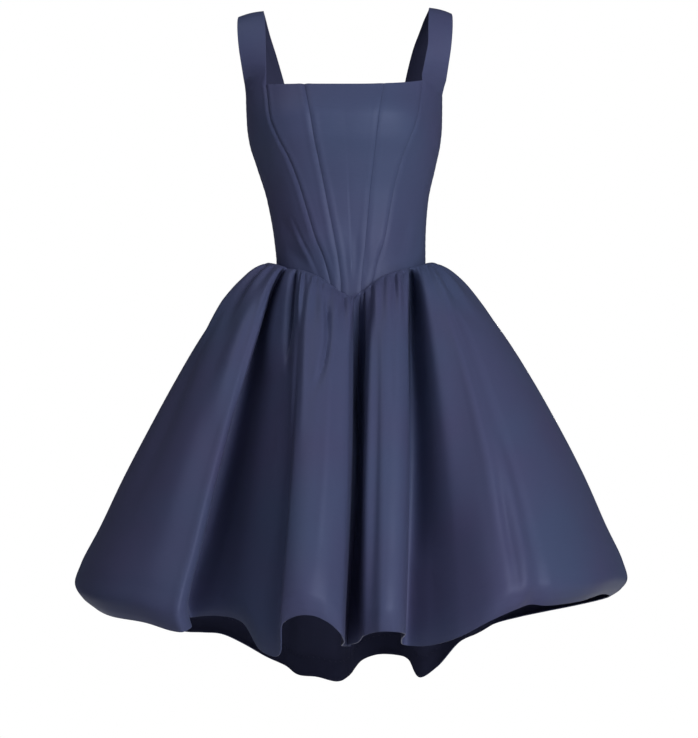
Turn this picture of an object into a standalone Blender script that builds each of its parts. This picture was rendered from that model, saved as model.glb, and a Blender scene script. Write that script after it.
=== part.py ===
"""Sleeveless fit-and-flare dress, standing open on its wearer's shoulders.

The bodice is nine cut pieces on one set of rings: a centre front, two bust panels, two side
fronts and two side backs that run up into the straps, and two centre backs that a concealed zip
joins.  The skirt is one gathered front and two gathered backs, hung from a pointed waist seam.
+Z is up, the front faces -Y, and _left and _right are the wearer's own sides, so left is +X.
The origin is midway between the two strap crowns, level with their undersides.
"""

import math
from collections import namedtuple

import bmesh
import bpy
import numpy as np
from mathutils import Vector

MM = 0.001

# Cloth and seams
CLOTH = 1.2 * MM
SEAM_GAP = 0.3 * MM
WAIST_GAP = 0.8 * MM

# Bodice: one ring for each height
BodiceRing = namedtuple("BodiceRing", "height half_width front back shift")
BODICE_RINGS = (
    BodiceRing(-0.090, 0.1450, 0.092, 0.088, -0.0106),
    BodiceRing(-0.112, 0.1455, 0.099, 0.090, -0.0104),
    BodiceRing(-0.165, 0.1443, 0.116, 0.091, -0.0096),
    BodiceRing(-0.190, 0.1415, 0.115, 0.088, -0.0090),
    BodiceRing(-0.225, 0.1325, 0.106, 0.083, -0.0072),
    BodiceRing(-0.277, 0.1190, 0.093, 0.076, -0.0048),
    BodiceRing(-0.336, 0.1117, 0.087, 0.073, -0.0016),
    BodiceRing(-0.373, 0.1100, 0.087, 0.074, 0.0),
    BodiceRing(-0.430, 0.1120, 0.092, 0.080, 0.0),
)

# The fullness that the bust seams give, a soft rise either side of the centre front
BUST_RISE = 0.006
BUST_ANGLE = 30.0
BUST_ANGLE_SPREAD = 20.0
BUST_HEIGHT = -0.160
BUST_HEIGHT_SPREAD = 0.042

# Front seams, as angles either side of the centre front
SeamStation = namedtuple("SeamStation", "height inner outer")
FRONT_SEAMS = (
    SeamStation(-0.108, 24.0, 53.0),
    SeamStation(-0.166, 19.6, 45.0),
    SeamStation(-0.225, 17.8, 37.0),
    SeamStation(-0.290, 15.0, 31.5),
    SeamStation(-0.336, 12.2, 27.0),
    SeamStation(-0.373, 9.8, 21.0),
    SeamStation(-0.408, 7.8, 16.0),
)
SIDE_SEAM = 90.0
BACK_SEAM_TOP = 142.0
BACK_SEAM_WAIST = 150.0
CENTRE_BACK = 180.0

# Top edges
NECK_FRONT = -0.1105
NECK_DIP = 0.0045
NECK_BACK = -0.1145
UNDERARM = -0.1200

# Waist seam: how far it lies below the side, at each angle from the centre front
WaistDip = namedtuple("WaistDip", "angle dip")
WAIST_SIDE = -0.3710
WAIST_DIPS = (
    WaistDip(0.0, 0.0605),
    WaistDip(8.0, 0.0530),
    WaistDip(16.0, 0.0410),
    WaistDip(26.0, 0.0290),
    WaistDip(38.0, 0.0205),
    WaistDip(55.0, 0.0130),
    WaistDip(75.0, 0.0035),
    WaistDip(90.0, 0.0),
    WaistDip(180.0, 0.0080),
)

# Straps: stations from the front root over the shoulder to the back root.  Each edge point is
# its distance out from the middle, its depth and its height.
StrapStation = namedtuple("StrapStation", "inner_out inner_y inner_z outer_out outer_y outer_z")
STRAP_MIDDLE = -0.0089
STRAP_FRONT = (
    StrapStation(0.1172, -0.0610, -0.0960, 0.1500, -0.0290, -0.1010),
    StrapStation(0.1172, -0.0600, -0.0760, 0.1535, -0.0395, -0.0800),
    StrapStation(0.1176, -0.0530, -0.0500, 0.1575, -0.0390, -0.0540),
    StrapStation(0.1184, -0.0400, -0.0200, 0.1598, -0.0310, -0.0270),
    StrapStation(0.1198, -0.0230, -0.0010, 0.1600, -0.0180, -0.0090),
    StrapStation(0.1210, -0.0060, 0.0074, 0.1590, -0.0050, -0.0016),
    StrapStation(0.1212, 0.0000, 0.0075, 0.1590, 0.0000, -0.0015),
)
STRAP_BACK = (
    StrapStation(0.1212, 0.0000, 0.0075, 0.1590, 0.0000, -0.0015),
    StrapStation(0.1208, 0.0060, 0.0074, 0.1590, 0.0050, -0.0016),
    StrapStation(0.1180, 0.0240, -0.0010, 0.1570, 0.0190, -0.0090),
    StrapStation(0.1122, 0.0430, -0.0220, 0.1550, 0.0320, -0.0280),
    StrapStation(0.1022, 0.0590, -0.0530, 0.1530, 0.0380, -0.0550),
    StrapStation(0.0945, 0.0690, -0.0800, 0.1500, 0.0370, -0.0810),
    StrapStation(0.0898, 0.0712, -0.0985, 0.1475, 0.0270, -0.1010),
)
STRAP_BOW = 0.0015
STRAP_BOW_OUT = 0.0005

# The left strap sits a little higher than the right one, and its inner edge leans outwards
StrapLean = namedtuple("StrapLean", "height front back")
LEFT_STRAP_LEANS = (
    StrapLean(-0.1000, -0.0040, -0.0010),
    StrapLean(-0.0700, 0.0020, -0.0025),
    StrapLean(-0.0450, 0.0055, -0.0030),
    StrapLean(-0.0120, 0.0050, 0.0),
    StrapLean(0.0060, 0.0040, 0.0040),
)
LEFT_STRAP_RISE = 0.0050
STRAP_ROOT = -0.0960
LEFT_NECK_RISE = 0.0065
LEFT_NECK_START = 8.0

# Skirt: how far the cloth has come down and out at each station of its length
SkirtStation = namedtuple("SkirtStation", "drop reach")
SKIRT_STATIONS = (
    SkirtStation(0.0, 0.0),
    SkirtStation(-0.002, 0.034),
    SkirtStation(0.012, 0.100),
    SkirtStation(0.050, 0.175),
    SkirtStation(0.115, 0.268),
    SkirtStation(0.226, 0.398),
    SkirtStation(0.346, 0.518),
    SkirtStation(0.485, 0.645),
    SkirtStation(0.644, 0.780),
    SkirtStation(0.785, 0.886),
    SkirtStation(0.890, 0.972),
    SkirtStation(0.945, 1.000),
    SkirtStation(0.978, 0.968),
    SkirtStation(1.000, 0.915),
)
HEM_CURL_START = 0.945
SKIRT_SWAY = 0.005
HEM_CURL_FRONT = 0.25
TUCK_START = 0.004
TUCK_PEAK = 0.09
TUCK_END = 0.55
TUCK_ONSET = 1.5

# Skirt folds: each line of cloth runs from its angle on the waist seam to its place on the hem.
# A tuck is how far the line is pressed back just below the waist.
FoldLine = namedtuple("FoldLine", "waist hem_x hem_y hem_z tuck")
FRONT_FOLDS = (
    FoldLine(-90.0, -0.407, 0.000, -0.868, 0.0),
    FoldLine(-82.0, -0.399, -0.098, -0.885, 0.0),
    FoldLine(-74.0, -0.364, -0.194, -0.904, 0.0),
    FoldLine(-67.0, -0.305, -0.262, -0.917, 0.0),
    FoldLine(-63.5, -0.264, -0.291, -0.930, 0.0),
    FoldLine(-60.5, -0.247, -0.298, -0.932, 0.0),
    FoldLine(-58.0, -0.234, -0.278, -0.924, 0.002),
    FoldLine(-56.0, -0.247, -0.190, -0.909, 0.03),
    FoldLine(-52.5, -0.240, -0.112, -0.901, 0.042),
    FoldLine(-49.8, -0.199, -0.155, -0.901, 0.012),
    FoldLine(-48.5, -0.160, -0.208, -0.913, 0.005),
    FoldLine(-46.5, -0.132, -0.262, -0.956, 0.003),
    FoldLine(-42.0, -0.104, -0.306, -0.965, 0.0),
    FoldLine(-34.0, -0.099, -0.338, -0.923, 0.001),
    FoldLine(-22.0, -0.070, -0.355, -0.911, 0.0),
    FoldLine(-9.0, -0.037, -0.352, -0.919, 0.0),
    FoldLine(-1.0, -0.014, -0.334, -0.937, 0.0),
    FoldLine(3.0, -0.009, -0.298, -0.946, 0.01),
    FoldLine(5.5, -0.014, -0.235, -0.949, 0.026),
    FoldLine(8.0, -0.004, -0.190, -0.947, 0.03),
    FoldLine(11.5, 0.010, -0.250, -0.945, 0.01),
    FoldLine(16.5, 0.021, -0.308, -0.938, 0.0),
    FoldLine(27.0, 0.041, -0.340, -0.934, 0.0),
    FoldLine(39.0, 0.067, -0.333, -0.934, 0.001),
    FoldLine(47.0, 0.078, -0.302, -0.935, 0.0),
    FoldLine(51.0, 0.073, -0.235, -0.940, 0.014),
    FoldLine(54.5, 0.079, -0.180, -0.945, 0.042),
    FoldLine(57.8, 0.111, -0.207, -0.947, 0.026),
    FoldLine(61.0, 0.156, -0.254, -0.937, 0.004),
    FoldLine(65.0, 0.204, -0.289, -0.915, 0.0),
    FoldLine(69.5, 0.242, -0.287, -0.899, 0.0),
    FoldLine(72.5, 0.264, -0.271, -0.891, 0.0),
    FoldLine(76.0, 0.288, -0.262, -0.892, 0.0),
    FoldLine(81.0, 0.343, -0.205, -0.883, 0.0),
    FoldLine(85.5, 0.387, -0.108, -0.867, 0.0),
    FoldLine(90.0, 0.407, 0.000, -0.864, 0.0),
)
BACK_FOLDS = (
    FoldLine(98.0, 0.393, 0.105, -0.864, 0.0),
    FoldLine(106.0, 0.352, 0.190, -0.868, 0.0),
    FoldLine(113.0, 0.302, 0.248, -0.874, 0.0),
    FoldLine(119.0, 0.262, 0.284, -0.880, 0.0),
    FoldLine(125.0, 0.225, 0.288, -0.889, 0.0),
    FoldLine(131.0, 0.196, 0.260, -0.905, 0.007),
    FoldLine(136.0, 0.168, 0.238, -0.919, 0.009),
    FoldLine(142.0, 0.134, 0.258, -0.955, 0.0),
    FoldLine(149.0, 0.106, 0.262, -0.972, 0.006),
    FoldLine(155.0, 0.090, 0.294, -0.944, 0.0),
    FoldLine(162.0, 0.074, 0.332, -0.935, 0.0),
    FoldLine(170.0, 0.042, 0.346, -0.933, 0.0),
    FoldLine(175.0, 0.016, 0.328, -0.943, 0.0),
    FoldLine(180.0, -0.004, 0.292, -0.968, 0.008),
    FoldLine(186.0, -0.022, 0.262, -0.978, 0.009),
    FoldLine(193.0, -0.052, 0.264, -0.971, 0.0),
    FoldLine(200.0, -0.080, 0.284, -0.967, 0.0),
    FoldLine(207.0, -0.100, 0.314, -0.952, 0.006),
    FoldLine(214.0, -0.132, 0.332, -0.937, 0.0),
    FoldLine(221.0, -0.170, 0.316, -0.917, 0.0),
    FoldLine(227.0, -0.202, 0.284, -0.905, 0.007),
    FoldLine(233.0, -0.230, 0.262, -0.904, 0.009),
    FoldLine(240.0, -0.264, 0.264, -0.902, 0.0),
    FoldLine(247.0, -0.308, 0.242, -0.886, 0.0),
    FoldLine(255.0, -0.355, 0.184, -0.876, 0.0),
    FoldLine(262.0, -0.394, 0.098, -0.872, 0.0),
)
COLUMNS_PER_FOLD = 3
NORMAL_EASINGS = 3

# Gathers: short waves that die away below the waist seam
GATHER_SPACING = 10.0
GATHER_HEIGHT = 0.0028
GATHER_END = 0.17

# Concealed zip: the slider that shows at the top of the centre back, and its pull tab
SLIDER_WIDTH = 0.0070
SLIDER_LENGTH = 0.0120
SLIDER_PLATE = 0.0016
SLIDER_BELOW_NECK = 0.0030
BRIDGE_WIDTH = 0.0014
BRIDGE_SPAN = 0.0070
BRIDGE_BAR = 0.0010
PULL_BAR = 0.0012
RUNNING_GAP = 0.0003
PULL_LENGTH = 0.0260
PULL_TOP_WIDTH = 0.0050
PULL_LOW_WIDTH = 0.0064
PULL_THICKNESS = 0.0012
PULL_HOLE_WIDTH = 0.0026
PULL_HOLE_LENGTH = 0.0060
PULL_SIDES = 24
PULL_SQUARENESS = 0.62
SLOT_SQUARENESS = 1.5

# Finishes
SHARP_ANGLE = 50.0
Finish = namedtuple("Finish", "name colour roughness metallic")
SATIN = Finish("navy_satin", (0.060, 0.070, 0.160), 0.42, 0.0)
ZIP_METAL = Finish("zip_metal", (0.070, 0.075, 0.110), 0.35, 1.0)


# ------------------------------------------------------------------ curves and tables

def smooth_curve(stations, values):
    """A curve through the stations that never overshoots a value."""
    stations = np.asarray(stations, float)
    values = np.asarray(values, float)
    steps = np.diff(stations)
    slopes = np.diff(values) / steps
    tangents = np.zeros(len(values))
    tangents[0] = slopes[0]
    tangents[-1] = slopes[-1]
    same_way = slopes[:-1] * slopes[1:] > 0
    joined = slopes[:-1] + slopes[1:]
    tangents[1:-1] = np.where(same_way, 2 * slopes[:-1] * slopes[1:] / np.where(same_way, joined, 1), 0)

    def at(place):
        place = min(max(place, stations[0]), stations[-1])
        span = min(int(np.searchsorted(stations, place, side="right")) - 1, len(steps) - 1)
        part = (place - stations[span]) / steps[span]
        rise = part * part * (3 - 2 * part)
        lead = part * (1 - part) ** 2 * steps[span] * tangents[span]
        trail = part * part * (part - 1) * steps[span] * tangents[span + 1]
        return float(values[span] * (1 - rise) + values[span + 1] * rise + lead + trail)

    return at


def column_curve(rows, key, column):
    """A smooth curve of one named column of a table against another."""
    ordered = sorted(rows, key=lambda row: getattr(row, key))
    return smooth_curve([getattr(row, key) for row in ordered], [getattr(row, column) for row in ordered])


half_width_at = column_curve(BODICE_RINGS, "height", "half_width")
front_at = column_curve(BODICE_RINGS, "height", "front")
back_at = column_curve(BODICE_RINGS, "height", "back")
shift_at = column_curve(BODICE_RINGS, "height", "shift")
inner_seam_at = column_curve(FRONT_SEAMS, "height", "inner")
outer_seam_at = column_curve(FRONT_SEAMS, "height", "outer")
waist_dip_at = column_curve(WAIST_DIPS, "angle", "dip")
front_lean_at = column_curve(LEFT_STRAP_LEANS, "height", "front")
back_lean_at = column_curve(LEFT_STRAP_LEANS, "height", "back")


def bell(distance, spread):
    """A soft rise of 1 that has all but gone at twice the spread."""
    return math.exp(-((distance / spread) ** 2))


def through_points(points, samples):
    """Smooth points through rows of points, the given number of steps to each span."""
    ghost_start = 2 * points[0] - points[1]
    ghost_end = 2 * points[-1] - points[-2]
    padded = [ghost_start, *points, ghost_end]
    curve = []
    for index in range(1, len(padded) - 2):
        before, start, end, after = padded[index - 1:index + 3]
        knots = [0.0]
        for first, second in ((before, start), (start, end), (end, after)):
            knots.append(knots[-1] + max(np.linalg.norm((second - first)[:3]), 1e-6) ** 0.5)
        for step in range(samples):
            place = knots[1] + (knots[2] - knots[1]) * step / samples
            curve.append(spline_point((before, start, end, after), knots, place))
    curve.append(padded[-2])
    return curve


def spline_point(points, knots, place):
    """One point of a centripetal Catmull-Rom span, by repeated blending."""
    level = list(points)
    for width in (1, 2, 1):
        blended = []
        for index in range(len(level) - 1):
            first = index + (1 if len(level) == 2 else 0)
            share = (place - knots[first]) / (knots[first + width] - knots[first])
            blended.append(level[index] * (1 - share) + level[index + 1] * share)
        level = blended
    return level[0]


# ------------------------------------------------------------------ the bodice surface

def bodice_point(angle, height):
    """A point on the outside of the bodice; the angle runs from the centre front towards +X."""
    turn = math.radians(angle)
    depth = front_at(height) if abs(angle) < SIDE_SEAM else back_at(height)
    rise = BUST_RISE * bell(abs(angle) - BUST_ANGLE, BUST_ANGLE_SPREAD)
    rise *= bell(height - BUST_HEIGHT, BUST_HEIGHT_SPREAD)
    across = half_width_at(height) * math.sin(turn)
    along = -depth * math.cos(turn)
    outward = Vector((math.sin(turn), -math.cos(turn), 0.0))
    return Vector((shift_at(height) + across, along, height)) + outward * rise


def bodice_normal(angle, height):
    """The direction straight out of the bodice at an angle and a height."""
    turn_step = 0.5
    rise_step = 0.002
    across = bodice_point(angle + turn_step, height) - bodice_point(angle - turn_step, height)
    up = bodice_point(angle, height + rise_step) - bodice_point(angle, height - rise_step)
    return across.cross(up).normalized()


def waist_height(angle):
    """The height of the waist seam at an angle from the centre front."""
    return WAIST_SIDE - waist_dip_at(abs((angle + 180.0) % 360.0 - 180.0))


# ------------------------------------------------------------------ cloth walls

def make_material(finish):
    material = bpy.data.materials.new(finish.name)
    material.use_nodes = True
    shader = material.node_tree.nodes["Principled BSDF"]
    shader.inputs["Base Color"].default_value = (*finish.colour, 1.0)
    shader.inputs["Roughness"].default_value = finish.roughness
    shader.inputs["Metallic"].default_value = finish.metallic
    return material


def add_object(name, mesh, finish):
    mesh.materials.append(make_material(finish))
    mesh.shade_smooth()
    mesh.set_sharp_from_angle(angle=math.radians(SHARP_ANGLE))
    piece = bpy.data.objects.new(name, mesh)
    bpy.context.scene.collection.objects.link(piece)
    return piece


def grid_normals(grid):
    """Unit normals of a grid of points, looking away from the upright axis."""
    normals = []
    facing = 0.0
    for row, line in enumerate(grid):
        above = grid[max(row - 1, 0)]
        below = grid[min(row + 1, len(grid) - 1)]
        turned = []
        for column, point in enumerate(line):
            across = line[min(column + 1, len(line) - 1)] - line[max(column - 1, 0)]
            normal = across.cross(above[column] - below[column]).normalized()
            facing += normal.x * point.x + normal.y * point.y
            turned.append(normal)
        normals.append(turned)
    if facing < 0:
        normals = [[-normal for normal in line] for line in normals]
    return normals


def eased(normals):
    """Each normal blended with its neighbours in its row, so that a tight fold keeps its wall."""
    for _ in range(NORMAL_EASINGS):
        rows = []
        for line in normals:
            padded = [line[0], *line, line[-1]]
            rows.append([(before + middle * 2 + after).normalized()
                         for before, middle, after in zip(padded, line, padded[2:])])
        normals = rows
    return normals


def cloth_wall(name, grid, normals):
    """A closed wall of cloth: its outer face runs through the grid, its inner face behind it."""
    rows = len(grid)
    columns = len(grid[0])
    bm = bmesh.new()
    bmesh.ops.create_grid(bm, x_segments=columns - 1, y_segments=rows - 1, size=1.0)
    outward = bm.verts.layers.float_vector.new("outward")
    for vert in bm.verts:
        column = round((vert.co.x + 1) / 2 * (columns - 1))
        row = round((vert.co.y + 1) / 2 * (rows - 1))
        vert.co = grid[row][column]
        vert[outward] = normals[row][column]
    raised = bmesh.ops.extrude_face_region(bm, geom=bm.faces[:], use_keep_orig=True)
    for item in raised["geom"]:
        if isinstance(item, bmesh.types.BMVert):
            item.co -= item[outward] * CLOTH
    bmesh.ops.recalc_face_normals(bm, faces=bm.faces[:])
    mesh = bpy.data.meshes.new(name)
    bm.to_mesh(mesh)
    bm.free()
    return add_object(name, mesh, SATIN)


def part_from_seam(grid):
    """Draw the end columns of a grid back by half the seam gap."""
    for row in grid:
        row[0] = row[0] + (row[1] - row[0]).normalized() * SEAM_GAP / 2
        row[-1] = row[-1] + (row[-2] - row[-1]).normalized() * SEAM_GAP / 2
    return grid


# ------------------------------------------------------------------ bodice pieces

def panel_grid(start_angle_at, end_angle_at, top_at, columns, rows):
    """Points and normals of a panel between two seams, from its top edge to the waist seam."""
    grid = []
    normals = []
    for row in range(rows + 1):
        down = row / rows
        line = []
        turned = []
        for column in range(columns + 1):
            share = column / columns
            height = WAIST_SIDE
            for _ in range(6):
                angle = start_angle_at(height) * (1 - share) + end_angle_at(height) * share
                height = top_at(angle, share) * (1 - down) + waist_height(angle) * down
            line.append(bodice_point(angle, height))
            turned.append(bodice_normal(angle, height))
        grid.append(line)
        normals.append(turned)
    return part_from_seam(grid), normals


def front_top(angle, share):
    """The front neck edge, which sags a little towards its middle and lifts at its left end."""
    lift = min(max((angle - LEFT_NECK_START) / (FRONT_SEAMS[0].outer - LEFT_NECK_START), 0.0), 1.0)
    sag = NECK_DIP * math.cos(math.radians(angle) * 90.0 / FRONT_SEAMS[0].outer)
    return NECK_FRONT - sag + LEFT_NECK_RISE * lift * lift


def back_top(angle, share):
    return NECK_BACK


def back_seam_at(height):
    share = (height - NECK_BACK) / (WAIST_SIDE - NECK_BACK)
    return BACK_SEAM_TOP + (BACK_SEAM_WAIST - BACK_SEAM_TOP) * min(max(share, 0.0), 1.0)


def strap_grid(stations, side, lean_at, columns, steps):
    """Points of a strap, a row for each rung from its first station to its last."""
    inner = [np.array((station.inner_out, station.inner_y, station.inner_z)) for station in stations]
    outer = [np.array((station.outer_out, station.outer_y, station.outer_z)) for station in stations]
    grid = []
    for inside, outside in zip(through_points(inner, steps), through_points(outer, steps)):
        line = []
        for column in range(columns + 1):
            share = column / columns
            out, along, height = inside * (1 - share) + outside * share
            bow = math.sin(math.pi * share)
            if side > 0:
                out += lean_at(height) * (1 - share)
                height += LEFT_STRAP_RISE * min(max(1 - height / STRAP_ROOT, 0.0), 1.0)
            across = STRAP_MIDDLE + side * (out + STRAP_BOW_OUT * bow)
            line.append(Vector((across, along, height + STRAP_BOW * bow)))
        grid.append(line)
    return grid


def side_panel(name, side, front, columns=9, rows=9, strap_steps=2):
    """A side panel and its half of the strap, cut in one, from the waist to the shoulder seam."""
    corner = NECK_FRONT if front else NECK_BACK
    if front and side > 0:
        corner += LEFT_NECK_RISE

    def seam(height):
        return side * (outer_seam_at(height) if front else back_seam_at(height))

    def side_seam(height):
        return side * SIDE_SEAM

    def top(angle, share):
        ease = share * share * (3 - 2 * share)
        return corner * (1 - ease) + UNDERARM * ease

    panel, panel_normals = panel_grid(seam, side_seam, top, columns, rows)
    stations = STRAP_FRONT if front else STRAP_BACK[::-1]
    lean_at = front_lean_at if front else back_lean_at
    strap = strap_grid(stations, side, lean_at, columns, strap_steps)[::-1]
    normals = grid_normals(strap + panel)[:len(strap)] + panel_normals
    for column, normal in enumerate(normals[0]):
        normals[0][column] = Vector((normal.x, 0.0, normal.z)).normalized()
        strap[0][column].y += -SEAM_GAP / 2 if front else SEAM_GAP / 2
    return cloth_wall(name, strap + panel, normals)


def build_bodice():
    def mirrored(seam_at):
        return lambda height: -seam_at(height)

    def centre_back(side):
        return lambda height: side * CENTRE_BACK

    cloth_wall("front_centre", *panel_grid(mirrored(inner_seam_at), inner_seam_at, front_top, 8, 9))
    for side, suffix in ((1, "left"), (-1, "right")):
        inner = inner_seam_at if side > 0 else mirrored(inner_seam_at)
        outer = outer_seam_at if side > 0 else mirrored(outer_seam_at)
        back = back_seam_at if side > 0 else mirrored(back_seam_at)
        cloth_wall("front_" + suffix, *panel_grid(inner, outer, front_top, 5, 9))
        side_panel("side_front_" + suffix, side, True)
        side_panel("side_back_" + suffix, side, False)
        cloth_wall("back_" + suffix, *panel_grid(back, centre_back(side), back_top, 5, 9))


# ------------------------------------------------------------------ the skirt

def tuck_share(drop):
    """How much of a tuck's depth is left this far down the skirt."""
    if drop <= TUCK_START or drop >= TUCK_END:
        return 0.0
    if drop < TUCK_PEAK:
        rise = (drop - TUCK_START) / (TUCK_PEAK - TUCK_START)
        return math.sin(math.pi / 2 * rise) ** TUCK_ONSET
    return math.cos(math.pi / 2 * (drop - TUCK_PEAK) / (TUCK_END - TUCK_PEAK)) ** 2


def seam_point(angle):
    """Where the skirt's cloth leaves the waist seam, behind the bodice's lower edge."""
    angle = (angle + 180.0) % 360.0 - 180.0
    height = waist_height(angle)
    point = bodice_point(angle, height) - bodice_normal(angle, height) * CLOTH
    point.z -= WAIST_GAP
    return point


def fold_line_point(fold, station):
    """A line of cloth at one station on its way from the waist seam to the hem."""
    start = seam_point(fold.waist)
    reach = station.reach
    if station.drop > HEM_CURL_START:
        curl = HEM_CURL_FRONT + (1 - HEM_CURL_FRONT) * (fold.hem_x / FRONT_FOLDS[-1].hem_x) ** 2
        reach = 1 - (1 - reach) * curl
    point = start + Vector((fold.hem_x - start.x, fold.hem_y - start.y, 0.0)) * reach
    point.z = start.z + (fold.hem_z - start.z) * station.drop
    point.x += SKIRT_SWAY * math.sin(math.pi * max(station.drop, 0.0))
    point.y -= math.copysign(fold.tuck * tuck_share(station.drop), fold.hem_y)
    return point


def gather_share(drop):
    """How tall the gathers stand this far down the skirt."""
    if drop <= 0 or drop >= GATHER_END:
        return 0.0
    return math.sin(math.pi * (drop / GATHER_END) ** 0.5)


def skirt_rows(folds):
    """Points of a stretch of skirt, a row for each station of its length."""
    grid = []
    for station in SKIRT_STATIONS:
        lines = [np.array((*fold_line_point(fold, station), *seam_point(fold.waist))) for fold in folds]
        height = GATHER_HEIGHT * gather_share(station.drop)
        row = []
        for index, place in enumerate(through_points(lines, COLUMNS_PER_FOLD)):
            span, step = divmod(index, COLUMNS_PER_FOLD)
            following = folds[min(span + 1, len(folds) - 1)].waist
            waist = folds[span].waist + (following - folds[span].waist) * step / COLUMNS_PER_FOLD
            point = seam_point(waist) + Vector(place[:3] - place[3:])
            outward = Vector((point.x, point.y, 0.0)).normalized()
            row.append(point + outward * height * math.cos(2 * math.pi * waist / GATHER_SPACING))
        grid.append(row)
    return grid


def build_skirt():
    first = FRONT_FOLDS[0]
    closing = first._replace(waist=first.waist + 360.0)
    around = [*FRONT_FOLDS, *BACK_FOLDS, closing]
    padding_before = BACK_FOLDS[-1]._replace(waist=BACK_FOLDS[-1].waist - 360.0)
    padding_after = FRONT_FOLDS[1]._replace(waist=FRONT_FOLDS[1].waist + 360.0)
    whole = skirt_rows([padding_before, *around, padding_after])
    normals = eased(grid_normals(whole))
    centre_back = [fold.waist for fold in around].index(CENTRE_BACK)
    stops = {
        "skirt_front": (0, len(FRONT_FOLDS) - 1),
        "skirt_back_left": (len(FRONT_FOLDS) - 1, centre_back),
        "skirt_back_right": (centre_back, len(around) - 1),
    }
    for name, (first_fold, last_fold) in stops.items():
        start = (first_fold + 1) * COLUMNS_PER_FOLD
        end = (last_fold + 1) * COLUMNS_PER_FOLD
        grid = [row[start:end + 1] for row in whole]
        cloth_wall(name, part_from_seam(grid), [row[start:end + 1] for row in normals])


# ------------------------------------------------------------------ the zip

def pull_outline(angle):
    """How far across and down the pull tab's edge lies at a turn from the middle of its top."""
    down = (1 - math.cos(angle)) / 2
    width = PULL_TOP_WIDTH + (PULL_LOW_WIDTH - PULL_TOP_WIDTH) * down
    side = math.copysign(abs(math.sin(angle)) ** PULL_SQUARENESS, math.sin(angle))
    return width / 2 * side, PULL_LENGTH * down


def slot_outline(angle):
    """The same for the edge of the tab's slot, which has straight sides and square corners."""
    side = max(-1.0, min(1.0, SLOT_SQUARENESS * math.sin(angle)))
    down = max(0.0, min(1.0, (1 - SLOT_SQUARENESS * math.cos(angle)) / 2))
    return PULL_HOLE_WIDTH / 2 * side, PULL_HOLE_LENGTH * down


def box_mesh(name, centre, size):
    """A box on its centre; the size is across, deep and tall."""
    bm = bmesh.new()
    made = bmesh.ops.create_cube(bm, size=1.0)
    bmesh.ops.scale(bm, vec=size, verts=made["verts"])
    bmesh.ops.translate(bm, vec=centre, verts=made["verts"])
    mesh = bpy.data.meshes.new(name)
    bm.to_mesh(mesh)
    bm.free()
    return mesh


def weld_on(piece, mesh):
    """Join a second closed shape to a piece as one body."""
    tool = bpy.data.objects.new(mesh.name, mesh)
    bpy.context.scene.collection.objects.link(tool)
    tool.hide_render = True
    tool.display_type = "WIRE"
    weld = piece.modifiers.new("weld " + mesh.name, "BOOLEAN")
    weld.operation = "UNION"
    weld.solver = "EXACT"
    weld.object = tool


def pull_mesh():
    """The pull tab round its pivot: a flat teardrop with a slot that the slider's bridge fills."""
    bm = bmesh.new()
    outer = []
    inner = []
    for index in range(PULL_SIDES):
        angle = 2 * math.pi * (index + 0.5) / PULL_SIDES
        across, down = pull_outline(angle)
        outer.append(bm.verts.new((across, -PULL_THICKNESS / 2, PULL_BAR / 2 - down)))
        across, down = slot_outline(angle)
        inner.append(bm.verts.new((across, -PULL_THICKNESS / 2, -PULL_BAR / 2 - down)))
    faces = []
    for index in range(PULL_SIDES):
        following = (index + 1) % PULL_SIDES
        faces.append(bm.faces.new((outer[index], outer[following], inner[following], inner[index])))
    raised = bmesh.ops.extrude_face_region(bm, geom=faces, use_keep_orig=True)
    moved = [item for item in raised["geom"] if isinstance(item, bmesh.types.BMVert)]
    bmesh.ops.translate(bm, vec=(0.0, PULL_THICKNESS, 0.0), verts=moved)
    bmesh.ops.recalc_face_normals(bm, faces=bm.faces[:])
    mesh = bpy.data.meshes.new("zip_pull")
    bm.to_mesh(mesh)
    bm.free()
    return mesh


def build_zip():
    """The slider lies on the cloth at the top of the centre back, and its bridge holds the tab."""
    neck = bodice_point(CENTRE_BACK, NECK_BACK)
    seat = bodice_point(CENTRE_BACK, NECK_BACK - SLIDER_BELOW_NECK - SLIDER_LENGTH / 2)
    plate_y = max(neck.y, seat.y) + SEAM_GAP + SLIDER_PLATE / 2
    plate_face = plate_y + SLIDER_PLATE / 2
    bridge_y = plate_face + PULL_BAR + 2 * RUNNING_GAP + BRIDGE_BAR / 2
    middle = Vector((seat.x, plate_y, seat.z))

    slider_size = (SLIDER_WIDTH, SLIDER_PLATE, SLIDER_LENGTH)
    slider = add_object("zip_slider", box_mesh("zip_slider", middle, slider_size), ZIP_METAL)
    bridge_middle = Vector((middle.x, bridge_y, middle.z))
    weld_on(slider, box_mesh("bridge_bar", bridge_middle, (BRIDGE_WIDTH, BRIDGE_BAR, BRIDGE_SPAN)))
    foot_size = (BRIDGE_WIDTH, bridge_y - plate_y, BRIDGE_BAR)
    for end, name in ((1, "bridge_top_foot"), (-1, "bridge_low_foot")):
        foot_z = middle.z + end * (BRIDGE_SPAN - BRIDGE_BAR) / 2
        weld_on(slider, box_mesh(name, Vector((middle.x, (plate_y + bridge_y) / 2, foot_z)), foot_size))

    pivot = bpy.data.objects.new("pull_pivot", None)
    bpy.context.scene.collection.objects.link(pivot)
    pivot.location = (middle.x, plate_face + RUNNING_GAP + PULL_BAR / 2, middle.z)
    tab = add_object("zip_pull", pull_mesh(), ZIP_METAL)
    tab.parent = pivot


def main():
    for old in list(bpy.data.objects):
        bpy.data.objects.remove(old, do_unlink=True)
    build_bodice()
    build_skirt()
    build_zip()


main()
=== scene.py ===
"""Looks of a sleeveless satin dress with a seamed bodice and a full gathered skirt.

Every piece of cloth is a thin wall on the same rings, seams and fold lines as its rigid panel,
worked out far more finely, with seams pressed in, gathers, creases, turned hems and turnings.
"""

import math
import random
from collections import namedtuple

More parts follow.
